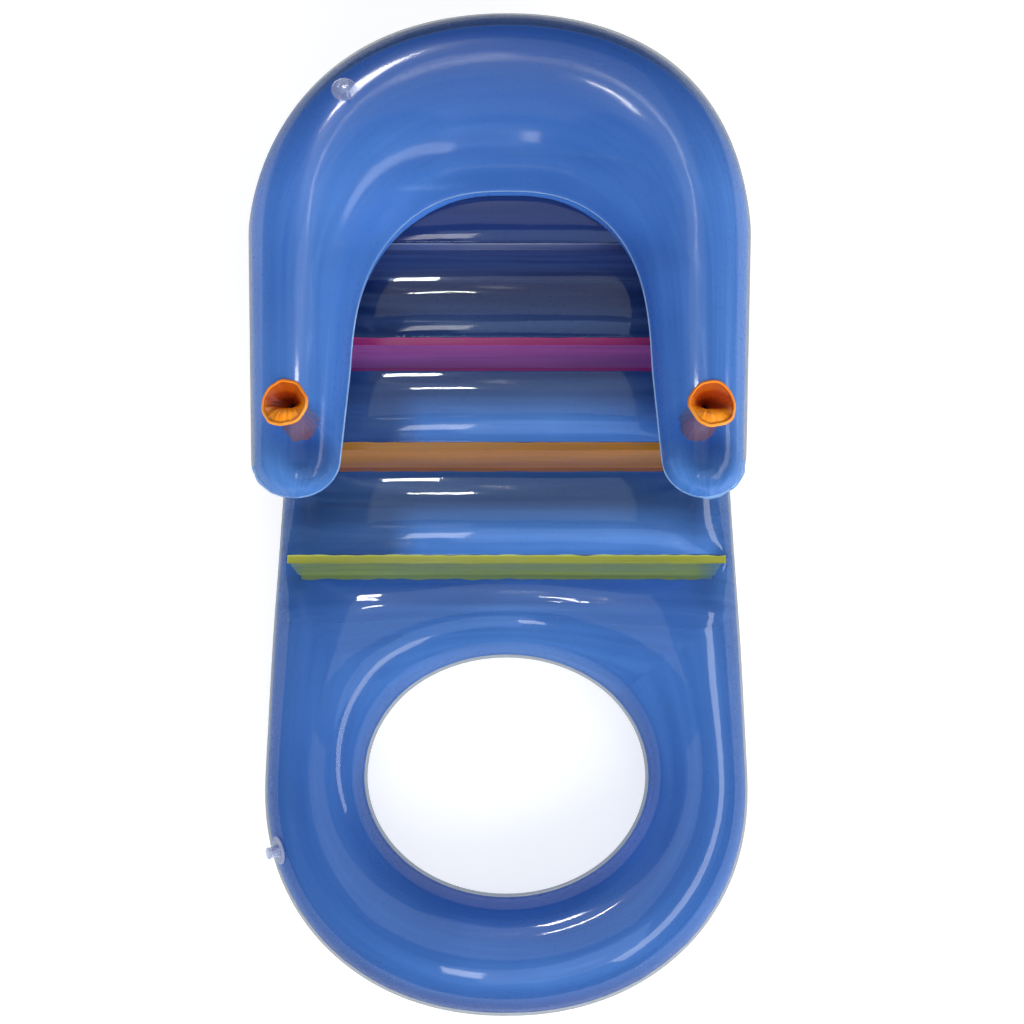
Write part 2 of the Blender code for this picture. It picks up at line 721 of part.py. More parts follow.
def tether(name, cap_z, frame, collection, look):
    """A strap that bows from the stopper's cap down to the flange, seen from its side and given its width."""
    middle_z = cap_z + STOPPER_CAP_THICKNESS / 2
    near = STOPPER_CAP_RADIUS + GAP
    foot_x = near + TETHER_REACH
    radius = TETHER_REACH / 2
    foot_z = VALVE_FLANGE_THICKNESS + GAP
    inner = [(near, middle_z - TETHER_THICKNESS / 2)]
    outer = [(near, middle_z + TETHER_THICKNESS / 2)]
    bend_x = foot_x - radius
    bend_z = middle_z - radius
    for k in range(SECTION_STEP_COUNT + 1):
        angle = math.pi / 2 * (1 - k / SECTION_STEP_COUNT)
        for line, offset in ((inner, -TETHER_THICKNESS / 2), (outer, TETHER_THICKNESS / 2)):
            reach = radius + offset
            line.append((bend_x + reach * math.cos(angle), bend_z + reach * math.sin(angle)))
    inner.append((foot_x - TETHER_THICKNESS / 2, foot_z))
    outer.append((foot_x + TETHER_THICKNESS / 2, foot_z))
    outline = outer + inner[::-1]
    curve = bpy.data.curves.new(name, "CURVE")
    curve.dimensions = "2D"
    curve.fill_mode = "BOTH"
    curve.extrude = TETHER_WIDTH / 2
    spline = curve.splines.new("POLY")
    spline.points.add(len(outline) - 1)
    for point, (across, up) in zip(spline.points, outline):
        point.co = (across, up, 0.0, 1.0)
    spline.use_cyclic_u = True
    thing = bpy.data.objects.new(name, curve)
    thing.data.materials.append(look)
    upright = Matrix(((1, 0, 0, 0), (0, 0, -1, 0), (0, 1, 0, 0), (0, 0, 0, 1)))
    thing.matrix_world = frame @ upright
    collection.objects.link(thing)


def main():
    clear_scene()
    parts = new_collection("pool_lounger")
    cutters = new_collection("cutters")
    blue = material("blue_film", BLUE, 0.12, 0.75)
    orange = material("orange_film", ORANGE, 0.35)
    clear = material("clear_vinyl", CLEAR, 0.1, 0.4)

    body_top, body_bottom, body_faces, tube_seam = body_sheets()
    top_sheet = mesh_object("body_top_sheet", body_top, body_faces, parts, blue)
    bottom_sheet = mesh_object("body_bottom_sheet", body_bottom, [f[::-1] for f in body_faces], parts, blue)
    solidify(top_sheet)
    solidify(bottom_sheet)
    films = {name: material(name, colour, 0.3) for name, colour in BEAM_COLOURS.items()}
    for place, (word, film) in zip(BEAM_PLACES, BEAM_FILMS.items()):
        beam(f"beam_{word}", place, tube_seam, parts, films[film])

    crest_z = body_top[:, 2].max()
    rest_top, rest_bottom, rest_faces = backrest_sheets(body_top, body_faces, crest_z)
    backrest = mesh_object("backrest_top_sheet", rest_top, rest_faces, parts, blue)
    underside = mesh_object("backrest_bottom_sheet", rest_bottom, [f[::-1] for f in rest_faces], parts, blue)
    solidify(backrest)
    solidify(underside)

    rest_tree = tree_of(rest_top, rest_faces)
    far = 2 * rest_top[:, 2].max()
    pocket_y = ARM_TIP_Y + POCKET_FROM_ARM_END
    pocket_x = OUTER_HALF_WIDTH - ARMREST_END_INSET - ARMREST_END_WIDTH / 2 + POCKET_OFFSET
    for side, sign in (("left", -1), ("right", 1)):
        place = (sign * pocket_x + ARMREST_SWAY, pocket_y)
        lean = -sign * POCKET_LEAN
        cut(backrest, pocket(side, *place, lean, rest_tree, far, parts, cutters, orange))

    out = -body_half_width(BODY_VALVE_Y)
    across = (-out / RING_HALF_WIDTH) ** (FOOT_POWER - 1) / RING_HALF_WIDTH
    along = (1 - BODY_VALVE_Y / FOOT_ROUND) ** (FOOT_POWER - 1) / FOOT_ROUND
    outward = math.atan2(-along, -across)
    ring_half = (RING_HALF_WIDTH - OPENING_HALF_WIDTH) / 2
    start = Vector((out - ring_half * math.cos(outward), BODY_VALVE_Y - ring_half * math.sin(outward), 0.0))
    start.z = body_top[body_top[:, 1] < 0][:, 2].max()
    frame = valve_frame(body_top, body_faces, start, outward, BODY_VALVE_ELEVATION)
    valve("body", frame, top_sheet, parts, cutters, clear)

    outer_arch_y = HEADREST_Y - OUTER_ARCH_LENGTH
    inner_arch_y = HEADREST_Y - HEADREST_WIDTH - INNER_ARCH_LENGTH
    angle = BACKREST_VALVE_ARCH_ANGLE
    outer = arch_point(OUTER_HALF_WIDTH, outer_arch_y, OUTER_ARCH_LENGTH, OUTER_ARCH_POWER, angle)
    inner = arch_point(
        OUTER_HALF_WIDTH - ARMREST_ROOT_WIDTH, inner_arch_y, INNER_ARCH_LENGTH, INNER_ARCH_POWER, angle
    )
    outward = math.atan2(outer[1] - inner[1], inner[0] - outer[0])
    across = BACKREST_VALVE_ACROSS_SHARE
    start = Vector((-blend(inner[0], outer[0], across), blend(inner[1], outer[1], across), 0.0))
    start.z = crest_z + ARMREST_SEAM_RISE + OUTER_SEAM_RISE * across
    frame = valve_frame(rest_top, rest_faces, start, outward, BACKREST_VALVE_ELEVATION)
    valve("backrest", frame, backrest, parts, cutters, clear)

    to_middle = Matrix.Translation((-ARMREST_SWAY, -MIDDLE_Y, 0.0))
    for thing in list(parts.objects) + list(cutters.objects):
        thing.matrix_world = to_middle @ thing.matrix_world
    bpy.context.view_layer.update()


main()
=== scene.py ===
"""Looks of the inflatable pool lounger: air-filled vinyl films, welded rims, beams, drink pockets and valves.

Metres, in the row frame. Lengths along Y in the outlines are measured from the foot seam, and then moved
to the frame.
"""

import math

import bmesh
import bpy
import numpy as np
from mathutils import Matrix, Vector, noise
from mathutils.bvhtree import BVHTree
from mathutils.kdtree import KDTree


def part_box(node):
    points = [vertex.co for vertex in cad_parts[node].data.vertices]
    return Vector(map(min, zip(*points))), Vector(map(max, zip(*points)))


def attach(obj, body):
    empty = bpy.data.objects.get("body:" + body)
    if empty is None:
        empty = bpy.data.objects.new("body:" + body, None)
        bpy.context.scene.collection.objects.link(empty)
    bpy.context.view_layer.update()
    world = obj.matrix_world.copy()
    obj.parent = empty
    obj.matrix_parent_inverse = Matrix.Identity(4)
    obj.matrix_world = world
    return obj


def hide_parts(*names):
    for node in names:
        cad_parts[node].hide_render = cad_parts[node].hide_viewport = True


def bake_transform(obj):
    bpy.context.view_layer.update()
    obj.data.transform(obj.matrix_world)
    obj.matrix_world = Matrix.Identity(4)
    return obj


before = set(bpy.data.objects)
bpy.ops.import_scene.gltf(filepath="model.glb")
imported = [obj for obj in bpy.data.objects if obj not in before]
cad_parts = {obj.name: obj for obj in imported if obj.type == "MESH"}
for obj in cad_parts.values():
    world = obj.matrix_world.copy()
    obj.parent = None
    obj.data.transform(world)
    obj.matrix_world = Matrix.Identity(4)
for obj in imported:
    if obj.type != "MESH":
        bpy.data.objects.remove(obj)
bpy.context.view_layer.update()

# Film and clearances
FILM = 0.0004
GAP = 0.0003
SEAT_CLEARANCE = 0.0010
FLOOR_PRESS = 0.003
AIR_FULLNESS_SHARE = 0.90

# Lower body, seam to seam
BODY_LENGTH = 1.4815
BODY_HALF_WIDTH = 0.3585
RING_HALF_WIDTH = 0.360
FOOT_ROUND = 0.329
HEAD_ROUND = 0.314
BODY_RIM = 0.004
OPENING_CENTRE_Y = 0.3315
OPENING_HALF_LENGTH = 0.1775
OPENING_HALF_WIDTH = 0.215
OPENING_RIM = 0.005

# Partition beams
BEAM_NAMES = ("yellow", "orange", "magenta", "blue", "head")
BEAM_PLACE_SHARES = (0.1414, 0.3337, 0.5249, 0.7090, 0.8992)
BEAM_HEIGHT = 0.100
BEAM_FLANGE = 0.014
BEAM_END_GAP = 0.020
BEAM_FILM_DROP = 0.0009
WEB_BUCKLE = 0.004
WEB_WAVES = 7.0
EDGE_WAVE = 0.0010
YELLOW_EDGE_WAVE = 0.0030
EDGE_WAVES = 34.0

# Backrest and armrests, seam to seam
SIDE_OVERHANG = 0.040
HEAD_OVERHANG = 0.0415
BACKREST_LENGTH = 0.809
OUTER_ARCH_LENGTH = 0.354
INNER_ARCH_LENGTH = 0.350
HEADREST_WIDTH = 0.2550
ARMREST_ROOT_WIDTH = 0.166
ARMREST_END_WIDTH = 0.123
ARMREST_END_INSET = 0.035
ARMREST_ROUND = 0.056
ARMREST_SWAY = -0.0113
ARMREST_INNER_SWAY = -0.0079
OUTER_SEAM_RISE = 0.055
INNER_SEAM_DROP = 0.040
BACKREST_RIM = 0.005
HEADREST_RIM = 0.018
INNER_RIM = 0.002
ARM_END_NOTCH_SHARE = 1.1
ARM_END_NOTCHES = 110.0

# Drink pockets. The mouth's roll runs inwards: reach past the mouth and rise over the film.
POCKET_MOUTH_RADIUS = 0.034
POCKET_FLOOR_RADIUS = 0.028
POCKET_RIM = 0.003
POCKET_DEPTH = 0.080
POCKET_LEAN = 0.010
POCKET_FROM_ARM_END = 0.124
POCKET_OFFSET = 0.0105
MOUTH_ROLL = (
    (POCKET_RIM, 0.0006),
    (0.0022, 0.0014),
    (0.0012, 0.0026),
    (0.0002, 0.0031),
    (-0.0010, 0.0024),
    (-0.0014, 0.0),
)
ROLL_INSET = 0.0015
SLEEVE_INSET = 0.0029
FLOOR_INSET = 0.004
FLOOR_RISE = 0.003
FLOOR_EDGE_RISE = 0.0004
THROAT_RADIUS = 0.0035
THROAT_DEPTH = 0.034
THROAT_ASIDE = 0.006
THROAT_HEADWARD = 0.008
FOLD_SEEDS = {"left": 4.1, "right": 9.7}
MOUTH_WAVES = 1.9
RIPPLE_WAVES = 5.5
CREASE_WAVES = 3.4
MOUTH_UNEVEN_SHARE = 0.075
MOUTH_RIPPLE_SHARE = 0.012
FOLD_HEIGHT = 0.0050
CREASE_HEIGHT = 0.010
CREASE_LEVEL = 0.25
FOOT_SIDE_BULGE = 0.017
SLEEVE_BULGE = 0.001
SLEEVE_UNEVEN = 0.004
GATHER_HEIGHT = 0.006
HOLE_INSET = 0.002
HOLE_REFINED = 1.3

# Filling valves: where each one's flange sits, its outward axis and its flap's hinge axis
VALVES = {
    "body": ((-0.318175, -0.549182, 0.102648), (-0.800363, -0.280365, 0.529919), (-0.3306, 0.943771, 0.0)),
    "backrest": ((-0.241723, 0.578105, 0.348297), (0.050408, -0.110956, 0.992546), (0.910448, 0.413623, 0.0)),
}
VALVE_FLANGE_RADIUS = 0.020
VALVE_FLANGE_THICKNESS = 0.0010
VALVE_NECK_RADIUS = 0.0085
VALVE_TOP_RADIUS = 0.0075
VALVE_NECK_HEIGHT = 0.013
VALVE_BORE_RADIUS = 0.0045
VALVE_SKIRT_RADIUS = 0.0060
VALVE_SKIRT_DEPTH = 0.006
BEAD_HEIGHT = 0.0005
STOPPER_CAP_RADIUS = 0.0085
STOPPER_CAP_THICKNESS = 0.0025
STOPPER_CAP_DISH = 0.0006
STOPPER_LENGTH = 0.009
STOPPER_TIP_RADIUS = 0.0036
STOPPER_WAIST = 0.0002
TETHER_WIDTH = 0.004
TETHER_THICKNESS = 0.0012
TETHER_REACH = 0.007
TETHER_BITE = 0.0004
TETHER_FOOT_Z = 0.0006
FLAP_THICKNESS = 0.0006
MOULDED_CORNER = 0.0004
FLAP_CORNER = 0.0002

# Shapes
FOOT_POWER = 2.13
OUTER_ARCH_POWER = 2.03
INNER_ARCH_POWER = 2.60
ARM_FULLNESS_SHARE = 0.95
HEAD_FULLNESS_SHARE = 0.80
DROOP_START_SHARE = 0.80
COLUMN_BUNCHING = 1.35

# Counts
BEAM_COLUMN_COUNT = 18
EDGE_COLUMN_COUNT = 5
TUBE_ROW_COUNT = 11
JUNCTION_ROW_COUNT = 4
HEAD_ROW_COUNT = 9
RING_STEP_COUNT = 12
RING_SIDE_STEP_COUNT = 6
RING_FOOT_STEP_COUNT = 44
ARM_END_STEP_COUNT = 12
ARM_SIDE_STEP_COUNT = 14
ARCH_STEP_COUNT = 26
SECTION_STEP_COUNT = 18
FLANGE_ROW_SHARES = (-1.0, -0.4, 0.2, 0.7, 1.0)
WEB_ROW_COUNT = 9
BEAM_POINT_COUNT = 121
POCKET_SIDE_COUNT = 144
THROAT_STEP_COUNT = 14
FLOOR_RING_COUNT = 8
TURNED_STEP_COUNT = 64
STRAP_SIDE_COUNT = 12
STRAP_BEND_STEP_COUNT = 16
STRAP_DROP_STEP_COUNT = 6

# Puckers along the seams: height, wavelength and reach, and the spans along Y where they grow
PUCKER_SAMPLE = 0.003
PUCKER_START = 0.006
BODY_PUCKERS = (0.0006, 0.017, 0.020)
OPENING_PUCKERS = (0.0008, 0.016, 0.016)
BACKREST_PUCKERS = (0.0005, 0.018, 0.020)
ARM_END_PUCKERS = (0.0039, 0.010, 0.015)
CURVE_PUCKER = 0.0016
CROWN_PUCKER = 0.0007
FOOT_CURVE = (-0.38, -0.63)
HEAD_CURVE = (0.40, 0.60)
ARM_END_SPAN = (0.03, -0.03)
CROWN_SPAN = (0.30, 0.60)

# Texture places of the welded rims, and how far the backrest's film runs across its section in its texture
RIM_TEXTURE_ROWS = (5.0, 5.1, 5.2, 5.3)
SECTION_TEXTURE_LENGTH = 0.26

BEAM_SHARE = 1 - BEAM_END_GAP / BODY_HALF_WIDTH
OPENING_END_Y = OPENING_CENTRE_Y + OPENING_HALF_LENGTH
BEAM_PLACES = [OPENING_END_Y + (BODY_LENGTH - OPENING_END_Y) * share for share in BEAM_PLACE_SHARES]
JUNCTION_Y = (OPENING_END_Y + BEAM_PLACES[0] - BEAM_FLANGE / 2) / 2
OUTER_HALF_WIDTH = BODY_HALF_WIDTH + SIDE_OVERHANG
HEADREST_Y = BODY_LENGTH + HEAD_OVERHANG
ARM_TIP_Y = HEADREST_Y - BACKREST_LENGTH
MIDDLE_Y = (HEADREST_Y + HEADREST_RIM - BODY_RIM) / 2

# Both faces of a film mirror the room, so it shines more than one face would
FILM_IOR = 1.42
EDGE_SHINE = 0.040
SOFT_GLOSS = {"Specular IOR Level": 0.15}

# How the film's grain and its slow waves are stretched along the tubes, and the strips' streaks along a beam
GRAIN_STRETCH = (1.2, 42.0, 1.0)
WAVE_STRETCH = (2.5, 16.0, 1.0)
STRIP_STRETCH = (2.0, 60.0, 60.0)

# Where the films' density and shade change, along X or Y, and by how steeply they lean, which places their
# painted light and painted shade
BY_RING = (-0.24, -0.12)
BY_ARCH = (0.18, 0.26)
BY_LEFT = (-0.17, -0.12)
UNDER_ARCH = (0.34, 0.44)
LONG_EDGE = (0.300, 0.335)
FOOT_PART = (-0.24, -0.15)
FOOT_SLOPE = (-0.60, -0.46)
STEEP = (0.45, 0.85)
FACING_FEET = (-0.55, -0.10)
EDGE_TINT = (0.56, 0.72, 0.94)
CLEAR_SPOT_SHARE = 0.42
SHADOW_SHARE = 0.6
WHITE = (1.0, 1.0, 1.0)


def smooth(share):
    share = min(1.0, max(0.0, share))
    return share * share * (3 - 2 * share)


def ramp(value, start, end):
    return smooth((value - start) / (end - start))


def blend(low, high, share):
    return low + (high - low) * share


def eased(step, count):
    """A step's share of the way, with the steps shortest at both ends."""
    return (1 - math.cos(math.pi * step / count)) / 2


def directions(count):
    """Directions in equal steps round a full turn."""
    angles = [2 * math.pi * k / count for k in range(count)]
    return [(math.cos(angle), math.sin(angle)) for angle in angles]


def uneven(*place):
    """A smooth unevenness between about -1 and 1, the same each time for one place."""
    return noise.noise(Vector(place))


def placed(points):
    """Points moved from the outlines' own place to the frame."""
    return np.array(points) + np.array((-ARMREST_SWAY, -MIDDLE_Y, 0.0))


# Shapes of the air-filled films


def arch_point(half_width, start_y, length, power, angle):
    x = half_width * max(0.0, math.cos(angle)) ** (2 / power)
    return x, start_y + length * max(0.0, math.sin(angle)) ** (2 / power)


def body_half_width(y):
    if y < FOOT_ROUND:
        return RING_HALF_WIDTH * max(0.0, 1 - (1 - y / FOOT_ROUND) ** FOOT_POWER) ** (1 / FOOT_POWER)
    head_start = BODY_LENGTH - HEAD_ROUND
    if y > head_start:
        return BODY_HALF_WIDTH * math.sqrt(max(0.0, 1 - ((y - head_start) / HEAD_ROUND) ** 2))
    along = (y - FOOT_ROUND) / (BEAM_PLACES[0] - FOOT_ROUND)
    return blend(RING_HALF_WIDTH, BODY_HALF_WIDTH, min(1.0, along))


def column_shares():
    half = BEAM_COLUMN_COUNT // 2
    bunched = [math.sin(COLUMN_BUNCHING * k / half) / math.sin(COLUMN_BUNCHING) for k in range(1, half + 1)]
    steps = range(1, EDGE_COLUMN_COUNT + 1)
    outer = [blend(BEAM_SHARE, 1.0, math.sin(math.pi / 2 * k / EDGE_COLUMN_COUNT)) for k in steps]
    right = [BEAM_SHARE * share for share in bunched] + outer
    return [-share for share in reversed(right)] + [0.0] + right


def body_rows():
    rows = [JUNCTION_Y]
    held = []
    counts = [JUNCTION_ROW_COUNT] + [TUBE_ROW_COUNT] * (len(BEAM_PLACES) - 1)
    for place, count in zip(BEAM_PLACES, counts):
        low, high = place - BEAM_FLANGE / 2, place + BEAM_FLANGE / 2
        start = rows[-1]
        rows += [blend(start, low, eased(k, count)) for k in range(1, count + 1)]
        held += [len(rows) - 1, len(rows)]
        rows.append(high)
    start = rows[-1]
    shares = [math.sin(math.pi / 2 * k / HEAD_ROW_COUNT) for k in range(1, HEAD_ROW_COUNT + 1)]
    return rows + [blend(start, BODY_LENGTH, share) for share in shares], held


def band_faces(start, rows, count, closed=True):
    """Faces between neighbouring rows of points, all the way round where the rows are closed."""
    faces = []
    for row in range(rows - 1):
        first = start + row * count
        for k in range(count if closed else count - 1):
            a, b = first + k, first + (k + 1) % count
            faces.append((a, b, b + count, a + count))
    return faces


def body_grid():
    """The mat over the beams, in plan: points, faces, weld bands, seam, flanges, columns and head edge."""
    shares = column_shares()
    rows, flange_rows = body_rows()
    columns = len(shares)
    on_beam = range(EDGE_COLUMN_COUNT, columns - EDGE_COLUMN_COUNT)
    points, bands, seam, flange = [], [], set(), set()
    for i, y in enumerate(rows[:-1]):
        for j, share in enumerate(shares):
            points.append((share * body_half_width(y), y))
            if j in (0, columns - 1):
                seam.add(len(points) - 1)
            elif i in flange_rows and j in on_beam:
                flange.add(len(points) - 1)
    apex = len(points)
    points.append((0.0, BODY_LENGTH))
    seam.add(apex)
    last = len(rows) - 2
    band_rows = flange_rows[::2]
    faces = band_faces(0, last + 1, columns, closed=False)
    for i in range(last):
        band = 1 + band_rows.index(i) if i in band_rows else 0
        bands += [band if j in on_beam[:-1] else 0 for j in range(columns - 1)]
    faces += [(last * columns + j, last * columns + j + 1, apex) for j in range(columns - 1)]
    bands += [0] * (columns - 1)
    head_loop = [i * columns + columns - 1 for i in range(last + 1)] + [apex]
    head_loop += [i * columns for i in range(last, -1, -1)]
    return points, faces, bands, seam, flange, columns, head_loop


def foot_seam():
    """Seam points round the foot end, from the right side to the left."""
    rim = [(body_half_width(y), y) for y in np.linspace(JUNCTION_Y, FOOT_ROUND, RING_SIDE_STEP_COUNT + 1)[1:]]
    quarter = RING_FOOT_STEP_COUNT // 2
    for k in range(1, quarter + 1):
        x, reach = arch_point(RING_HALF_WIDTH, 0.0, FOOT_ROUND, FOOT_POWER, math.pi / 2 * k / quarter)
        rim.append((x, FOOT_ROUND - reach))
    return rim + [(-x, y) for x, y in reversed(rim[:-1])]


def towards_opening(point, across):
    """A point between the foot opening's edge, at 0, and a point of the seam round it, at 1."""
    x, y = point
    angle = math.atan2((y - OPENING_CENTRE_Y) / OPENING_HALF_LENGTH, x / OPENING_HALF_WIDTH)
    near_x = OPENING_HALF_WIDTH * math.cos(angle)
    near_y = OPENING_CENTRE_Y + OPENING_HALF_LENGTH * math.sin(angle)
    return blend(near_x, x, across), blend(near_y, y, across)


def body_plan():
    """The lower body's mesh in plan, with a texture place for each corner of each face."""
    points, faces, bands, seam, flange, columns, head_loop = body_grid()
    uvs = [[points[k] for k in face] for face in faces]
    rim = foot_seam()
    foot_loop = list(range(len(points), len(points) + len(rim)))
    points += rim
    outer = [columns - 1] + foot_loop + list(range(columns - 1))
    rings = [outer]
    for k in range(RING_STEP_COUNT - 1, -1, -1):
        across = eased(k, RING_STEP_COUNT)
        rings.append(list(range(len(points), len(points) + len(outer))))
        points += [towards_opening(points[index], across) for index in outer]
    width = (RING_HALF_WIDTH - OPENING_HALF_WIDTH) / RING_STEP_COUNT
    length = math.pi * (RING_HALF_WIDTH + OPENING_HALF_WIDTH) / len(outer)
    for i, (ring, inner) in enumerate(zip(rings, rings[1:])):
        near, far = -2 - width * i, -2 - width * (i + 1)
        for k in range(len(ring)):
            nxt = (k + 1) % len(ring)
            faces.append((ring[k], inner[k], inner[nxt], ring[nxt]))
            low, high = length * k, length * (k + 1)
            uvs.append([(low, near), (low, far), (high, far), (high, near)])
    bands += [0] * (len(faces) - len(bands))
    seam |= set(foot_loop) | set(rings[-1])
    return np.array(points), faces, uvs, bands, seam, flange, foot_loop[::-1] + head_loop, rings[-1]


def air_heights(points, faces, seam, flange=(), flange_height=0.0):
    """How far air pressure lifts the film over the seam plane.

    Half the height squared has the same curvature all over.
    """
    points = np.array(points)
    count = len(points)
    stiffness = np.zeros((count, count))
    load = np.zeros(count)
    for face in faces:
        for k in range(1, len(face) - 1):
            corners = (face[0], face[k], face[k + 1])
            p = points[list(corners)]
            area = abs((p[1] - p[0])[0] * (p[2] - p[0])[1] - (p[1] - p[0])[1] * (p[2] - p[0])[0]) / 2
            sides = np.array([p[2] - p[1], p[0] - p[2], p[1] - p[0]])
            stiffness[np.ix_(corners, corners)] += sides @ sides.T / (4 * area)
            load[list(corners)] += area / 3
    known = np.zeros(count)
    known[list(flange)] = flange_height**2 / 2
    free = np.array([k for k in range(count) if k not in seam and k not in flange])
    right = load[free] - stiffness[free] @ known
    known[free] = np.linalg.solve(stiffness[np.ix_(free, free)], right)
    return np.sqrt(2 * np.maximum(known, 0.0))


def rim_steps(points, loop, width):
    steps = []
    for k, index in enumerate(loop):
        back = points[loop[k - 1]]
        ahead = points[loop[(k + 1) % len(loop)]]
        across = Vector((ahead[1] - back[1], back[0] - ahead[0])).normalized()
        steps.append((across.x * width, across.y * width))
    return steps


def rim_faces(loop, start):
    count = len(loop)
    return [(loop[(k + 1) % count], loop[k], start + k, start + (k + 1) % count) for k in range(count)]


def half_stations():
    """Stations from the right arm's tip to the crown: outer and inner seam point, and share of the arch."""
    end_y = ARM_TIP_Y + ARMREST_ROUND
    outer_end_x = OUTER_HALF_WIDTH - ARMREST_END_INSET
    inner_end_x = outer_end_x - ARMREST_END_WIDTH
    tip_x = (outer_end_x + inner_end_x) / 2
    outer_arch_y = HEADREST_Y - OUTER_ARCH_LENGTH
    inner_arch_y = HEADREST_Y - HEADREST_WIDTH - INNER_ARCH_LENGTH
    inner_half_width = OUTER_HALF_WIDTH - ARMREST_ROOT_WIDTH
    stations = []
    for k in range(ARM_END_STEP_COUNT + 1):
        angle = math.pi / 2 * k / ARM_END_STEP_COUNT
        y = end_y - ARMREST_ROUND * math.cos(angle)
        outer = (blend(tip_x, outer_end_x, math.sin(angle)), y)
        inner = (blend(tip_x, inner_end_x, math.sin(angle)), y)
        stations.append((outer, inner, 0.0))
    for k in range(1, ARM_SIDE_STEP_COUNT + 1):
        share = k / ARM_SIDE_STEP_COUNT
        outer = (blend(outer_end_x, OUTER_HALF_WIDTH, share), blend(end_y, outer_arch_y, share))
        inner = (blend(inner_end_x, inner_half_width, share), blend(end_y, inner_arch_y, share))
        stations.append((outer, inner, 0.0))
    for k in range(1, ARCH_STEP_COUNT + 1):
        angle = math.pi / 2 * k / ARCH_STEP_COUNT
        outer = arch_point(OUTER_HALF_WIDTH, outer_arch_y, OUTER_ARCH_LENGTH, OUTER_ARCH_POWER, angle)
        inner = arch_point(inner_half_width, inner_arch_y, INNER_ARCH_LENGTH, INNER_ARCH_POWER, angle)
        stations.append((outer, inner, smooth(math.sin(angle))))
    return stations


def backrest_plan():
    """The backrest's mesh: points, texture places, fullness, faces, rows, and its rim's slopes and widths."""
    half = half_stations()
    stations = half + [((-o[0], o[1]), (-i[0], i[1]), g) for o, i, g in reversed(half[:-1])]
    points, places, fullness, faces, rows, slopes, widths = [], [], [], [], [], [], []
    travelled, last = 0.0, None
    for outer, inner, arch in stations:
        outer_z = OUTER_SEAM_RISE * arch
        inner_z = -INNER_SEAM_DROP * arch
        width = math.dist(outer, inner)
        middle = ((outer[0] + inner[0]) / 2, (outer[1] + inner[1]) / 2)
        travelled += math.dist(middle, last) if last else 0.0
        last = middle
        pole = width < FILM
        row = []
        for j in range(1 if pole else SECTION_STEP_COUNT + 1):
            share = eased(j, SECTION_STEP_COUNT)
            x, y = blend(inner[0], outer[0], share), blend(inner[1], outer[1], share)
            sway = blend(ARMREST_INNER_SWAY, ARMREST_SWAY, share) * (1 - arch)
            row.append(len(points))
            points.append((x + sway, y, blend(inner_z, outer_z, share)))
            places.append((travelled, SECTION_TEXTURE_LENGTH * share))
            fullness.append(blend(ARM_FULLNESS_SHARE, HEAD_FULLNESS_SHARE, arch))
        rows.append(row)
        slopes.append(0.0 if pole else (outer_z - inner_z) / width)
        widths.append(blend(BACKREST_RIM, HEADREST_RIM, arch))
    for low, high in zip(rows, rows[1:]):
        for j in range(SECTION_STEP_COUNT):
            if len(low) == 1:
                faces.append((low[0], high[j + 1], high[j]))
            elif len(high) == 1:
                faces.append((low[j], low[j + 1], high[0]))
            else:
                faces.append((low[j], low[j + 1], high[j + 1], high[j]))
    return points, places, fullness, faces, rows, slopes, widths


# Meshes


def tree_of(thing):
    """A finder of a piece's surface."""
    mesh = thing.data
    return BVHTree.FromPolygons([v.co for v in mesh.vertices], [tuple(p.vertices) for p in mesh.polygons])


def from_above(tree, x, y):
    """Where a surface is first met from above, or None beside it."""
    return tree.ray_cast(Vector((x, y, 1.0)), Vector((0, 0, -1)))[0]


def surface_z(tree, x, y):
    return from_above(tree, x, y).z


def mesh_object(name, points, faces, looks, uvs=None, marks=None):
    """A mesh piece. marks gives each face's place in looks, and uvs a texture place for each corner."""
    mesh = bpy.data.meshes.new(name)
    mesh.from_pydata([tuple(p) for p in points], [], [tuple(f) for f in faces])
    for look in looks:
        mesh.materials.append(look)
    if marks is not None:
        mesh.polygons.foreach_set("material_index", marks)
    if uvs is not None:
        layer = mesh.uv_layers.new(name="grain")
        layer.data.foreach_set("uv", [c for corners in uvs for uv in corners for c in uv])
    mesh.shade_smooth()
    thing = bpy.data.objects.new(name, mesh)
    bpy.context.scene.collection.objects.link(thing)
    return thing


def crease(thing, loops, lines=()):
    """Keeps a subdivided mesh sharp along loops and lines of points."""
    wanted = {frozenset(pair) for loop in loops for pair in zip(loop, loop[1:] + loop[:1])}
    wanted |= {frozenset(pair) for pair in lines}
    attribute = thing.data.attributes.new("crease_edge", "FLOAT", "EDGE")
    values = [1.0 if frozenset(edge.vertices) in wanted else 0.0 for edge in thing.data.edges]
    attribute.data.foreach_set("value", values)


def subdivide(thing):
    step = thing.modifiers.new("finer", "SUBSURF")
    step.levels = 1
    step.render_levels = 1
    step.boundary_smooth = "PRESERVE_CORNERS"
    bpy.context.view_layer.update()
    done = bpy.data.meshes.new_from_object(thing.evaluated_get(bpy.context.evaluated_depsgraph_get()))
    thing.modifiers.clear()
    thing.data = done


def seam_line(points, loops):
    """A finder of the nearest seam point, with how far along its loop each lies."""
    places, alongs, which = [], [], []
    for number, loop in enumerate(loops):
        along = 0.0
        for k, index in enumerate(loop):
            here, ahead = Vector(points[index]), Vector(points[loop[(k + 1) % len(loop)]])
            pieces = max(1, math.ceil((ahead - here).length / PUCKER_SAMPLE))
            for piece in range(pieces):
                places.append(here.lerp(ahead, piece / pieces))
                alongs.append(along + (ahead - here).length * piece / pieces)
                which.append(number)
            along += (ahead - here).length
    tree = KDTree(len(places))
    for k, place in enumerate(places):
        tree.insert(place, k)
    tree.balance()
    return tree, alongs, which


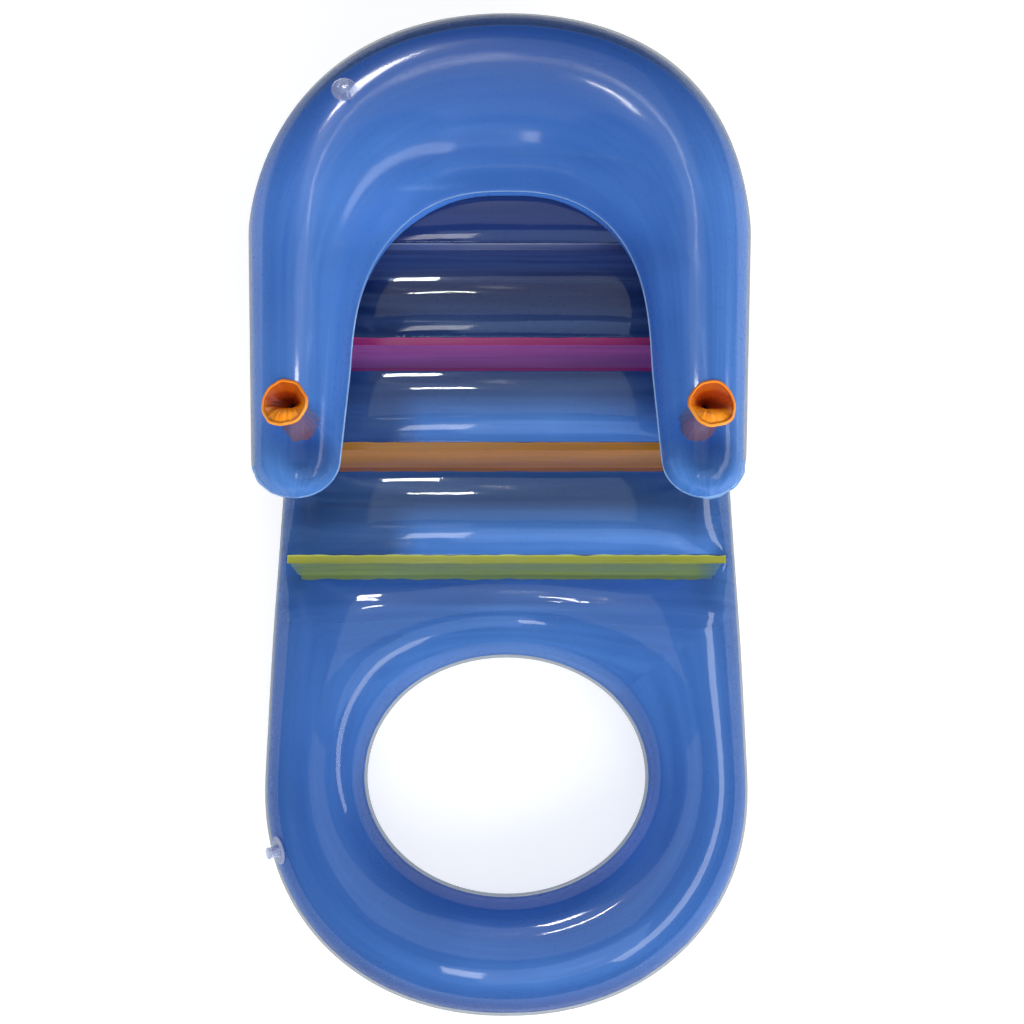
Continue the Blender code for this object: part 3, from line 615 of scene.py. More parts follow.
def pucker(thing, finder, strength):
    """Small folds that run away from a seam, where the flat film has more length than the curve needs."""
    tree, alongs, which = finder
    points = np.array([v.co for v in thing.data.vertices])
    normals = np.array([v.normal for v in thing.data.vertices])
    moves = np.zeros(len(points))
    for k, point in enumerate(points):
        _, index, away = tree.find(Vector(point))
        height, wavelength, reach = strength(which[index], point[1])
        along = alongs[index]
        fold = uneven(along / wavelength, 7.3 * which[index] + 0.4, away / (4 * reach))
        fine = uneven(2.3 * along / wavelength, 3.1, 5.7 + away / (3 * reach))
        rise = min(1.0, away / PUCKER_START)
        moves[k] = height * (fold + 0.5 * fine) * rise * math.exp(-away / reach)
    points += normals * moves[:, None]
    thing.data.vertices.foreach_set("co", points.astype(np.float32).ravel())
    thing.data.update()


def hole(thing, centre, radius):
    """Cuts a round hole, seen from above, in a film and leaves a clean edge."""
    tree = tree_of(thing)
    shape = bmesh.new()
    shape.from_mesh(thing.data)

    def away(v):
        return math.hypot(v.co.x - centre[0], v.co.y - centre[1])

    near = [e for e in shape.edges if min(away(v) for v in e.verts) < HOLE_REFINED * radius]
    bmesh.ops.subdivide_edges(shape, edges=near, cuts=3, use_grid_fill=True)
    doomed = [f for f in shape.faces if all(away(v) < radius for v in f.verts)]
    bmesh.ops.delete(shape, geom=doomed, context="FACES")
    bmesh.ops.delete(shape, geom=[v for v in shape.verts if not v.link_faces], context="VERTS")
    for v in shape.verts:
        if away(v) < HOLE_REFINED * radius:
            share = max(1.0, radius / away(v))
            x, y = blend(centre[0], v.co.x, share), blend(centre[1], v.co.y, share)
            v.co = (x, y, surface_z(tree, x, y))
    shape.to_mesh(thing.data)
    shape.free()


# Materials


class Nodes:
    """A short way to build the nodes of a material or of the world."""

    def __init__(self, owner):
        self.owner = owner
        owner.use_nodes = True
        self.tree = owner.node_tree
        self.tree.nodes.clear()

    def add(self, kind, values=None, **settings):
        node = self.tree.nodes.new(kind)
        for key, value in settings.items():
            setattr(node, key, value)
        for key, value in (values or {}).items():
            self.put(node.inputs[key], value)
        return node

    def put(self, socket, value):
        if isinstance(value, bpy.types.NodeSocket):
            self.tree.links.new(value, socket)
        elif socket.type == "RGBA" and len(value) == 3:
            socket.default_value = (*value, 1.0)
        else:
            socket.default_value = value

    def math(self, operation, *values):
        node = self.add("ShaderNodeMath", operation=operation)
        for socket, value in zip(node.inputs, values):
            self.put(socket, value)
        return node.outputs[0]

    def times(self, value, *factors):
        for factor in factors:
            value = self.math("MULTIPLY", value, factor)
        return value

    def scale_to(self, value, low, high, start=0.0, end=1.0):
        values = {"Value": value, "From Min": start, "From Max": end, "To Min": low, "To Max": high}
        return self.add("ShaderNodeMapRange", values).outputs[0]

    def mix_colour(self, factor, first, second):
        return self.add("ShaderNodeMix", {0: factor, 6: first, 7: second}, data_type="RGBA").outputs[2]

    def noise(self, where, scale, detail=3.0, roughness=0.5):
        values = {"Vector": where, "Scale": scale, "Detail": detail, "Roughness": roughness}
        return self.add("ShaderNodeTexNoise", values).outputs[0]

    def stretched(self, where, scale):
        return self.add("ShaderNodeMapping", {"Vector": where, "Scale": scale}).outputs[0]

    def position(self):
        return self.add("ShaderNodeTexCoord").outputs["Object"]

    def grain(self):
        return self.add("ShaderNodeUVMap", uv_map="grain").outputs[0]

    def parts(self, vector):
        return self.add("ShaderNodeSeparateXYZ", {"Vector": vector}).outputs

    def lean(self):
        """How far the surface faces the head end, or with a minus the feet."""
        return self.parts(self.add("ShaderNodeNewGeometry").outputs["Normal"])[1]

    def distance(self, first, second):
        return self.add("ShaderNodeVectorMath", {0: first, 1: second}, operation="DISTANCE").outputs["Value"]

    def bump(self, height, strength, distance, under=None):
        values = {"Height": height, "Strength": strength, "Distance": distance}
        if under:
            values["Normal"] = under
        return self.add("ShaderNodeBump", values).outputs[0]

    def vinyl(self, colour, roughness, relief, more):
        values = {"Base Color": colour, "Roughness": roughness, "Normal": relief, **more}
        return self.add("ShaderNodeBsdfPrincipled", values).outputs[0]

    def over_clear(self, solid, tint, gloss):
        """A solid share of gloss over a tinted view through the film."""
        through = self.add("ShaderNodeBsdfTransparent", {"Color": tint}).outputs[0]
        return self.mix(solid, through, gloss)

    def mix(self, share, first, second):
        return self.add("ShaderNodeMixShader", {0: share, 1: first, 2: second}).outputs[0]

    def finish(self, shader, kind="ShaderNodeOutputMaterial"):
        self.tree.links.new(shader, self.add(kind).inputs["Surface"])
        return self.owner


def film_colour(n, where, streak, deep, pale, head, painted_slope_shade):
    cloud = n.noise(where, 5.0, 2.0)
    shade = n.math("ADD", n.scale_to(streak, -0.35, 0.35, 0.3, 0.7), n.scale_to(cloud, 0.1, 0.9, 0.3, 0.7))
    colour = n.mix_colour(shade, deep, pale)
    y = n.parts(where)[1]
    # Painted shade: the darker head colour takes over along a span of Y
    if head:
        colour = n.mix_colour(n.scale_to(y, 0.0, 1.0, *head[1:]), colour, head[0])
    # Painted shade: the foot ring's steep slopes darken
    if painted_slope_shade:
        on_slope = n.scale_to(n.math("ABSOLUTE", n.lean()), 0.0, 0.9, *STEEP)
        at_foot = n.scale_to(y, 1.0, 0.0, *FOOT_SLOPE)
        colour = n.mix_colour(n.times(on_slope, at_foot), colour, painted_slope_shade)
    return colour


def film(
    name, deep, pale, tint, solid_share, lean_share=0.0, head=None, bore=None, sides=None, painted_slope_shade=None,
    clear_and_shadow_spots=(), mirror=1.0, smear=(0.04, 0.06),
):
    """Clear tinted vinyl film: a glossy coloured layer over a tinted view through it.

    deep and pale are the two shades that it drifts between. The head colour is a painted shade that takes
    over along a span of Y, and the colour for steep slopes paints shade on the foot ring's steep slopes.
    solid_share is how much of the light the film stops, with lean_share more on the slopes that face the
    feet, a painted light band, and sides more at the long edges and round the foot opening, with painted
    shade under the arch. The spots are places where the film is clearer and shows the pocket sleeves
    beneath; those below the pockets bare a painted shadow on the lower film. bore is a place where it is
    cut away under a valve. mirror is how strongly it reflects, and smear how blurred, from and to.
    """
    n = Nodes(bpy.data.materials.new(name))
    where = n.position()
    x, y, _ = n.parts(where)
    streak = n.noise(n.stretched(n.grain(), GRAIN_STRETCH), 1.0, 4.0, 0.6)
    wave = n.noise(n.stretched(n.grain(), WAVE_STRETCH), 1.0, 2.0)
    relief = n.bump(wave, 0.4, 0.0035, n.bump(streak, 0.10, 0.0008))
    scuff = n.noise(where, 130.0, 5.0, 0.65)
    colour = film_colour(n, where, streak, deep, pale, head, painted_slope_shade)
    gloss = n.vinyl(colour, n.scale_to(scuff, 0.25, 0.4, 0.35, 0.75), relief, SOFT_GLOSS)
    solid = n.math("ADD", solid_share, n.scale_to(streak, -0.06, 0.06, 0.3, 0.7))
    # Painted light: a band on slopes facing the feet, with painted shade at the ring, arch and left side
    if lean_share:
        lit = n.times(
            n.scale_to(n.lean(), lean_share, 0.0, *FACING_FEET),
            n.scale_to(y, 0.10, 1.0, *BY_RING),
            n.scale_to(y, 1.0, 0.15, *BY_ARCH),
            n.scale_to(x, 0.15, 1.0, *BY_LEFT),
        )
        solid = n.math("ADD", solid, lit)
    if sides:
        # Painted shade: denser film under the arch, where its darker head colour shows
        solid = n.math("ADD", solid, n.scale_to(y, 0.0, 0.45, *UNDER_ARCH))
        long_edge = n.scale_to(n.math("ABSOLUTE", x), 0.0, 1.0, *LONG_EDGE)
        edge = n.math("MAXIMUM", long_edge, n.scale_to(y, 1.0, 0.0, *FOOT_PART))
        solid = n.math("ADD", solid, n.times(edge, sides))
        tint = n.mix_colour(edge, tint, EDGE_TINT)
    # Clearer spots show the pocket sleeves; those below them bare a painted shadow on the lower film
    for spot, reach in clear_and_shadow_spots:
        solid = n.times(solid, n.scale_to(n.distance(where, spot), CLEAR_SPOT_SHARE, 1.0, reach / 2, reach))
    if bore:
        kept = n.math("GREATER_THAN", n.distance(where, bore), VALVE_SKIRT_RADIUS)
        solid = n.times(solid, kept)
        tint = n.mix_colour(kept, WHITE, tint)
    shadow = n.add("ShaderNodeLightPath").outputs["Is Shadow Ray"]
    solid = n.times(solid, n.scale_to(shadow, 1.0, SHADOW_SHARE))
    facing = n.add("ShaderNodeFresnel", {"IOR": FILM_IOR, "Normal": relief}).outputs[0]
    facing = n.math("MINIMUM", n.times(facing, mirror), EDGE_SHINE)
    blur = n.scale_to(scuff, *smear, 0.3, 0.7)
    shine = n.add("ShaderNodeBsdfGlossy", {"Roughness": blur, "Normal": relief}).outputs[0]
    return n.finish(n.mix(facing, n.over_clear(solid, tint, gloss), shine))


def weld(name, colour, tint, solid_share):
    """Two films welded flat: greyer, with the fine ribs that the welding bar leaves."""
    n = Nodes(bpy.data.materials.new(name))
    where = n.position()
    relief = n.bump(n.noise(where, 420.0, 2.0), 0.3, 0.0004)
    cloud = n.noise(where, 24.0, 3.0)
    mottled = n.mix_colour(cloud, [0.8 * c for c in colour], [min(1.0, 1.2 * c) for c in colour])
    gloss = n.vinyl(mottled, n.scale_to(cloud, 0.18, 0.34), relief, {"IOR": 1.5})
    solid = n.math("ADD", solid_share, n.scale_to(cloud, -0.06, 0.06))
    return n.finish(n.over_clear(solid, tint, gloss))


def strip(name, deep, pale):
    """A coloured inner strip of film, streaked along its length."""
    n = Nodes(bpy.data.materials.new(name))
    where = n.position()
    streak = n.noise(n.stretched(where, STRIP_STRETCH), 1.0, 4.0, 0.6)
    fine = n.noise(where, 260.0, 3.0)
    relief = n.bump(fine, 0.15, 0.0003, n.bump(streak, 0.35, 0.002))
    colour = n.mix_colour(n.scale_to(streak, 0.0, 1.0, 0.32, 0.68), deep, pale)
    return n.finish(n.vinyl(colour, n.scale_to(fine, 0.22, 0.38), relief, SOFT_GLOSS))


def pocket_film(name, deep, pale, painted_shade):
    """Orange pocket film: soft gloss, with painted shade that darkens it low in the pocket and on its half
    towards the head, away from the light.
    """
    n = Nodes(bpy.data.materials.new(name))
    where = n.position()
    cloud = n.noise(where, 45.0, 4.0)
    creases = n.noise(n.stretched(where, (160.0, 160.0, 22.0)), 1.0, 3.0)
    colour = n.mix_colour(n.scale_to(cloud, 0.0, 1.0, 0.3, 0.7), deep, pale)
    _, y, z = n.parts(where)
    # Painted shade: darker low in the pocket and on its half towards the head
    shade = n.math("ADD", n.scale_to(z, 0.90, 0.0, 0.272, 0.292), n.scale_to(y, 0.0, 0.85, 0.062, 0.082))
    colour = n.mix_colour(n.math("MINIMUM", shade, 1.0), colour, painted_shade)
    relief = n.bump(creases, 0.45, 0.0012)
    return n.finish(n.vinyl(colour, n.scale_to(cloud, 0.28, 0.42), relief, {"Specular IOR Level": 0.25}))


def clear_vinyl(name):
    """Clear moulded vinyl of the valves: milky where it is thick."""
    n = Nodes(bpy.data.materials.new(name))
    cloud = n.noise(n.position(), 90.0, 3.0)
    colour = n.mix_colour(cloud, (0.42, 0.48, 0.66), (0.70, 0.75, 0.90))
    gloss = n.vinyl(colour, n.scale_to(cloud, 0.06, 0.14), n.bump(cloud, 0.2, 0.0006), {"IOR": 1.52})
    edge = n.add("ShaderNodeLayerWeight", {"Blend": 0.35}).outputs["Facing"]
    return n.finish(n.over_clear(n.scale_to(edge, 0.22, 0.75), (0.88, 0.91, 0.98), gloss))


def floor_finish(name):
    """Pale floor that the camera and the object's gloss see as white, with the object's soft shadow on it."""
    n = Nodes(bpy.data.materials.new(name))
    grain = n.noise(n.position(), 3.0, 3.0)
    colour = n.mix_colour(grain, (0.58, 0.58, 0.58), (0.60, 0.60, 0.60))
    matt = n.scale_to(grain, 0.8, 0.9)
    paper = n.add("ShaderNodeBsdfPrincipled", {"Base Color": colour, "Roughness": matt})
    path = n.add("ShaderNodeLightPath").outputs
    seen = n.math("MAXIMUM", path["Is Camera Ray"], path["Is Glossy Ray"])
    seen = n.math("MAXIMUM", seen, path["Is Transmission Ray"])
    away = n.add("ShaderNodeVectorMath", {0: n.position()}, operation="LENGTH").outputs["Value"]
    white = n.times(seen, n.scale_to(away, 0.70, 1.0, 1.2, 2.8))
    glow = n.add("ShaderNodeEmission", {"Strength": white})
    return n.finish(n.add("ShaderNodeAddShader", {0: paper.outputs[0], 1: glow.outputs[0]}).outputs[0])


# Pieces


def body_pucker(loop, y):
    """Height, wavelength and reach of the folds by a seam of the lower body."""
    if loop == 1:
        return OPENING_PUCKERS
    height, wavelength, reach = BODY_PUCKERS
    return height + CURVE_PUCKER * (ramp(y, *FOOT_CURVE) + ramp(y, *HEAD_CURVE)), wavelength, reach


def backrest_pucker(_, y):
    arm_end = ramp(y, *ARM_END_SPAN)
    sides = zip(BACKREST_PUCKERS, ARM_END_PUCKERS)
    height, wavelength, reach = (blend(side, end, arm_end) for side, end in sides)
    return height + CROWN_PUCKER * ramp(y, *CROWN_SPAN), wavelength, reach


def film_pair(name, shapes, faces, uvs, marks, looks, loops, held, strength):
    """A chamber's upper and lower film, from their points, as smooth pieces with folds by their seams."""
    films = []
    for side, turn in (("top", 1), ("bottom", -1)):
        corners, places = [f[::turn] for f in faces], [u[::turn] for u in uvs]
        thing = mesh_object(f"{name}_{side}_film", shapes[side], corners, looks[side], places, marks)
        crease(thing, loops, held)
        subdivide(thing)
        pucker(thing, seam_line(shapes[side], loops), strength)
        films.append(thing)
    return films


def body_films(looks):
    """The lower body's two films. looks for each: film, rim, then one for the weld band over each beam."""
    points, faces, uvs, bands, seam, flange, outline, opening = body_plan()
    web_half = BEAM_HEIGHT / 2 / AIR_FULLNESS_SHARE
    heights = AIR_FULLNESS_SHARE * air_heights(points, faces, seam, flange, web_half)
    marks = [band + 1 if band else 0 for band in bands]
    for loop, width in ((outline, BODY_RIM), (opening, OPENING_RIM)):
        added = rim_faces(loop, len(points))
        points = np.vstack([points, points[loop] + np.array(rim_steps(points, loop, width))])
        heights = np.concatenate([heights, np.zeros(len(loop))])
        faces = faces + added
        uvs += [[(k * BODY_RIM, v) for v in RIM_TEXTURE_ROWS] for k in range(len(loop))]
        marks += [1] * len(added)
    droop_start = OPENING_CENTRE_Y * DROOP_START_SHARE
    tube_seam = heights[points[:, 1] > JUNCTION_Y].max() - FLOOR_PRESS
    ring_seam = heights[points[:, 1] < droop_start].max() - FLOOR_PRESS
    seam_z = blend(ring_seam, tube_seam, np.array([ramp(y, droop_start, JUNCTION_Y) for y in points[:, 1]]))
    upper_z = seam_z + FILM / 2 + heights
    lower_z = np.maximum(seam_z - FILM / 2 - heights, FILM / 2)
    sides = (("top", upper_z), ("bottom", lower_z))
    shapes = {side: placed(np.column_stack([points, z])) for side, z in sides}
    held = [(a, a + 1) for a in flange if a + 1 in flange]
    loops = [outline, opening]
    over, under = film_pair("body", shapes, faces, uvs, marks, looks, loops, held, body_pucker)
    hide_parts("body_top_sheet")
    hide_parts("body_bottom_sheet")
    return over, under, tube_seam


def backrest_films(body_tree, looks):
    """The backrest's two films. looks for each: film, outer rim, then inner rim and arm ends."""
    points, places, fullness, faces, rows, slopes, widths = backrest_plan()
    plan = [p[:2] for p in points]
    loop = [row[-1] for row in rows] + [row[0] for row in rows[-2:0:-1]]
    lifts = np.array(fullness) * air_heights(plan, faces, set(loop))
    lifts = np.concatenate([lifts, np.zeros(len(loop))])
    marks = [0] * len(faces)
    faces += rim_faces(loop, len(points))
    for k, (index, (step_x, step_y)) in enumerate(zip(loop, rim_steps(plan, loop, 1.0))):
        on_outer = k < len(rows)
        width, slope = (widths[k], slopes[k]) if on_outer else (INNER_RIM, 0.0)
        x, y, z = points[index]
        by_arm_end = y < ARM_TIP_Y + ARMREST_ROUND
        if by_arm_end:
            width *= 1 - ARM_END_NOTCH_SHARE * abs(uneven(ARM_END_NOTCHES * x, ARM_END_NOTCHES * y, 2.6))
        marks.append(1 if on_outer and not by_arm_end else 2)
        points.append((x + step_x * width, y + step_y * width, z + slope * width))
        places.append((places[index][0], places[index][1] + width))
    uvs = [[places[k] for k in face] for face in faces]
    points = placed(points)
    lift = np.outer(FILM / 2 + lifts, (0, 0, 1))
    rise = np.array((0, 0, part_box("backrest_top_sheet")[1].z - (points + lift)[:, 2].max()))
    shapes = {"top": points + lift + rise, "bottom": points - lift + rise}
    over, under = film_pair("backrest", shapes, faces, uvs, marks, looks, [loop], (), backrest_pucker)
    for v in under.data.vertices:
        found = from_above(body_tree, v.co.x, v.co.y)
        if found:
            v.co.z = max(v.co.z, found.z + SEAT_CLEARANCE)
    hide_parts("backrest_top_sheet")
    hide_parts("backrest_bottom_sheet")
    return over, under


def beam_film(name, place, seam_z, looks):
    """A partition beam: a slightly buckled web between two welded flanges with wavy free edges."""
    y = place - MIDDLE_Y
    half = min(body_half_width(place + side * BEAM_FLANGE / 2) for side in (-1, 1)) * BEAM_SHARE
    xs = np.linspace(-half, half, BEAM_POINT_COUNT) - ARMREST_SWAY
    seed = 11.7 * BEAM_NAMES.index(name)
    edge_wave = YELLOW_EDGE_WAVE if name == "yellow" else EDGE_WAVE
    low_z = seam_z - BEAM_HEIGHT / 2 + BEAM_FILM_DROP
    high_z = seam_z + BEAM_HEIGHT / 2 - BEAM_FILM_DROP
    points = []
    for z in (high_z, low_z):
        for share in FLANGE_ROW_SHARES:
            wave = edge_wave if abs(share) == 1 else 0.0
            for x in xs:
                ripple = wave * uneven(x * EDGE_WAVES, seed, share * 3)
                points.append((x, y + share * (BEAM_FLANGE / 2 - GAP) + ripple, z))
    for k in range(WEB_ROW_COUNT):
        share = k / (WEB_ROW_COUNT - 1)
        bow = math.sin(math.pi * share)
        for x in xs:
            buckle = WEB_BUCKLE * uneven(x * WEB_WAVES, seed + 3.1, share * 1.3) * bow
            points.append((x, y + buckle, blend(low_z, high_z, share)))
    faces = []
    start = 0
    for rows in (len(FLANGE_ROW_SHARES), len(FLANGE_ROW_SHARES), WEB_ROW_COUNT):
        faces += band_faces(start, rows, BEAM_POINT_COUNT, closed=False)
        start += rows * BEAM_POINT_COUNT
    bands = [0, 0, 0, 2] + [0] * (len(FLANGE_ROW_SHARES) - 1) + [1] * (WEB_ROW_COUNT - 1)
    marks = [band for band in bands for _ in range(BEAM_POINT_COUNT - 1)]
    thing = mesh_object(f"partition_{name}", points, faces, looks, marks=marks)
    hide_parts(f"beam_{name}")
    return thing


def pocket_folds(seed):
    """Directions round a pocket, each with the mouth's radius and its fine and its sharp folds there."""
    folds = []
    for c, s in directions(POCKET_SIDE_COUNT):
        wide = uneven(MOUTH_WAVES * c, MOUTH_WAVES * s, seed)
        fine = uneven(RIPPLE_WAVES * c, RIPPLE_WAVES * s, seed + 3.3)
        creased = abs(uneven(CREASE_WAVES * c, CREASE_WAVES * s, seed + 8.8))
        mouth = POCKET_MOUTH_RADIUS * (1 + MOUTH_UNEVEN_SHARE * wide + MOUTH_RIPPLE_SHARE * fine)
        folds.append((c, s, mouth, fine, creased))
    return folds


def pocket_sleeve(side, x, y, lean, tree, folds, looks):
    """A rolled mouth, and a sleeve that the air squeezes to a narrow throat, wider again at the floor."""
    top_z = surface_z(tree, x, y)
    throat_z = top_z - THROAT_DEPTH
    throat_x = x + math.copysign(THROAT_ASIDE, lean)
    throat_y = y + THROAT_HEADWARD
    points = []
    for reach, rise in MOUTH_ROLL:
        for c, s, mouth, _, _ in folds:
            radius = mouth + reach - ROLL_INSET
            px, py = x + radius * c, y + radius * s
            points.append((px, py, surface_z(tree, px, py) + rise))
    for i in range(1, THROAT_STEP_COUNT + 1):
        down = i / THROAT_STEP_COUNT
        bow = math.sin(math.pi * down)
        for c, s, mouth, fine, creased in folds:
            start = mouth - SLEEVE_INSET
            start_z = surface_z(tree, x + start * c, y + start * s)
            ridge = bow * (FOLD_HEIGHT * fine + CREASE_HEIGHT * (creased - CREASE_LEVEL))
            radius = max(THROAT_RADIUS, blend(start, THROAT_RADIUS, down**0.85) + 0.4 * ridge)
            bulge = (FOOT_SIDE_BULGE * max(0.0, -s) + SLEEVE_BULGE) * bow + 0.6 * ridge
            px, py = blend(x, throat_x, down) + radius * c, blend(y, throat_y, down) + radius * s
            points.append((px, py, blend(start_z, throat_z, down) + bulge))
    for i in range(1, THROAT_STEP_COUNT + 1):
        down = i / THROAT_STEP_COUNT
        widened = blend(THROAT_RADIUS, POCKET_FLOOR_RADIUS, smooth(1.5 * down))
        for c, s, _, fine, _ in folds:
            radius = widened + SLEEVE_UNEVEN * fine * down
            px, py = blend(throat_x, x + lean, down) + radius * c, blend(throat_y, y, down) + radius * s
            points.append((px, py, blend(throat_z, top_z - POCKET_DEPTH, down)))
    faces = band_faces(0, len(MOUTH_ROLL) + 2 * THROAT_STEP_COUNT, POCKET_SIDE_COUNT)
    # The rolled mouth takes the lighter rim film, a painted highlight
    marks = [1] * (len(MOUTH_ROLL) - 1) * POCKET_SIDE_COUNT
    marks += [0] * (len(faces) - len(marks))
    sleeve = mesh_object(f"drink_pocket_{side}", points, faces, looks, marks=marks)
    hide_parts(f"pocket_sleeve_{side}")
    return sleeve


def pocket_floor(side, x, y, lean, tree, folds, look):
    """A pocket's gathered floor."""
    floor_z = surface_z(tree, x, y) - POCKET_DEPTH
    points = [(x + lean, y, floor_z + FLOOR_RISE)]
    for i in range(1, FLOOR_RING_COUNT + 1):
        share = i / FLOOR_RING_COUNT
        radius = (POCKET_FLOOR_RADIUS - FLOOR_INSET - GAP) * share
        level = blend(FLOOR_RISE, FLOOR_EDGE_RISE, share)
        for c, s, _, _, creased in folds:
            rise = level + GATHER_HEIGHT * creased * share * (1 - share * 0.7)
            points.append((x + lean + radius * c, y + radius * s, floor_z + rise))
    count = POCKET_SIDE_COUNT
    faces = [(0, 1 + k, 1 + (k + 1) % count) for k in range(count)]
    faces += [(a, d, c, b) for a, b, c, d in band_faces(1, FLOOR_RING_COUNT, count)]
    floor = mesh_object(f"drink_pocket_floor_{side}", points, faces, [look])
    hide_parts(f"pocket_floor_{side}")
    return floor


def rounded(profile, radius, closed):
    """A profile with its corners cut back to short arcs."""
    count = len(profile)
    out = []
    for k, (r, z) in enumerate(profile):
        if not closed and k in (0, count - 1):
            out.append((r, z))
            continue
        here = Vector((r, z))
        back = Vector(profile[k - 1]) - here
        ahead = Vector(profile[(k + 1) % count]) - here
        cut = min(radius, back.length / 2.2, ahead.length / 2.2)
        start, end = here + back.normalized() * cut, here + ahead.normalized() * cut
        for share in (0.0, 0.33, 0.67, 1.0):
            a, b = start.lerp(here, share), here.lerp(end, share)
            out.append(tuple(a.lerp(b, share)))
    return out


def turned(name, profile, corner, place, look, closed=False):
    """A profile of (radius, height) points with rounded corners, turned about the valve's axis."""
    points, faces, rows = [], [], []
    for radius, height in rounded(profile, corner, closed):
        if radius < GAP:
            rows.append([len(points)])
            points.append((0.0, 0.0, height))
            continue
        rows.append(list(range(len(points), len(points) + TURNED_STEP_COUNT)))
        points += [(radius * c, radius * s, height) for c, s in directions(TURNED_STEP_COUNT)]
    pairs = list(zip(rows, rows[1:])) + ([(rows[-1], rows[0])] if closed else [])
    for low, high in pairs:
        for k in range(TURNED_STEP_COUNT):
            nxt = (k + 1) % TURNED_STEP_COUNT
            if len(low) == 1:
                faces.append((low[0], high[k], high[nxt]))
            elif len(high) == 1:
                faces.append((low[k], high[0], low[nxt]))
            else:
                faces.append((low[k], high[k], high[nxt], low[nxt]))
    return mesh_object(name, [place @ Vector(p) for p in points], faces, [look])


def valve_base(name, top, lip, place, look):
    """The moulded flange with its bead, the neck, and the skirt inside the chamber."""
    profile = [
        (VALVE_TOP_RADIUS, top),
        (VALVE_TOP_RADIUS + 0.0002, top * 0.78),
        (VALVE_NECK_RADIUS - 0.0006, top * 0.74),
        (VALVE_NECK_RADIUS, lip + 0.002),
        (VALVE_NECK_RADIUS + 0.002, lip),
        (VALVE_FLANGE_RADIUS - 0.0035, lip),
        (VALVE_FLANGE_RADIUS - 0.003, lip + BEAD_HEIGHT),
        (VALVE_FLANGE_RADIUS - 0.002, lip + BEAD_HEIGHT),
        (VALVE_FLANGE_RADIUS - 0.0015, lip),
        (VALVE_FLANGE_RADIUS, lip),
        (VALVE_FLANGE_RADIUS, 0.0),
        (VALVE_SKIRT_RADIUS, 0.0),
        (VALVE_SKIRT_RADIUS, -VALVE_SKIRT_DEPTH),
        (VALVE_BORE_RADIUS, -VALVE_SKIRT_DEPTH),
        (VALVE_BORE_RADIUS, top),
    ]
    base = turned(f"{name}_valve_moulding", profile, MOULDED_CORNER, place, look, closed=True)
    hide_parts(f"{name}_valve_base")
    return base


def valve_stopper(name, cap, place, look):
    plug = VALVE_BORE_RADIUS - GAP
    high = cap + STOPPER_CAP_THICKNESS
    profile = [
        (0.0, high - STOPPER_CAP_DISH),
        (STOPPER_CAP_RADIUS - 0.0022, high - STOPPER_CAP_DISH),
        (STOPPER_CAP_RADIUS - 0.0015, high),
        (STOPPER_CAP_RADIUS, high),
        (STOPPER_CAP_RADIUS, cap),
        (plug, cap),
        (plug - STOPPER_WAIST, cap - STOPPER_LENGTH * 0.5),
        (plug, cap - STOPPER_LENGTH * 0.6),
        (STOPPER_TIP_RADIUS, cap - STOPPER_LENGTH),
        (0.0, cap - STOPPER_LENGTH),
    ]
    stopper = turned(f"{name}_valve_plug", profile, MOULDED_CORNER, place, look)
    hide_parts(f"{name}_valve_stopper")
    return stopper


def valve_flap(name, place, look):
    radius = VALVE_SKIRT_RADIUS - GAP
    high = -VALVE_SKIRT_DEPTH - GAP
    low = high - FLAP_THICKNESS
    profile = [(0.0, high), (radius, high), (radius, low), (0.0, low)]
    flap = turned(f"{name}_valve_check_flap", profile, FLAP_CORNER, place, look)
    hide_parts(f"{name}_valve_flap")
    return flap


def strap_line(near, foot_x, middle, lip):
    """The strap's middle line: out of the cap's edge, round a bend, down, and flat along the flange."""
    radius = TETHER_REACH / 2
    line = [(near, middle), (near + 0.0012, middle)]
    for k in range(STRAP_BEND_STEP_COUNT + 1):
        angle = math.pi / 2 * (1 - k / STRAP_BEND_STEP_COUNT)
        line.append((foot_x - radius + radius * math.cos(angle), middle - radius + radius * math.sin(angle)))
    for k in range(1, STRAP_DROP_STEP_COUNT + 1):
        line.append((foot_x, blend(middle - radius, lip + TETHER_THICKNESS / 2, k / STRAP_DROP_STEP_COUNT)))
    line.append((foot_x + 0.0006, lip + 0.0007))
    return line + [(foot_x + 0.0016, lip + TETHER_FOOT_Z), (foot_x + 0.0028, lip + TETHER_FOOT_Z)]


def valve_strap(name, line, place, look):
    """A flat strap with rounded edges along a line."""
    count = STRAP_SIDE_COUNT
    points = []
    for k, (along, up) in enumerate(line):
        back, ahead = line[max(0, k - 1)], line[min(len(line) - 1, k + 1)]
        heading = Vector((ahead[0] - back[0], ahead[1] - back[1])).normalized()
        for c, s in directions(count):
            across = math.copysign(abs(c) ** 0.5, c) * TETHER_WIDTH / 2
            out = math.copysign(abs(s) ** 0.7, s) * TETHER_THICKNESS / 2
            points.append((along - heading.y * out, across, up + heading.x * out))
    faces = band_faces(0, len(line), count)
    faces.append(tuple(range(count - 1, -1, -1)))
    faces.append(tuple(range(len(points) - count, len(points))))
    strap = mesh_object(f"{name}_valve_strap", [place @ Vector(p) for p in points], faces, [look])
    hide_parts(f"{name}_valve_tether")
    return strap


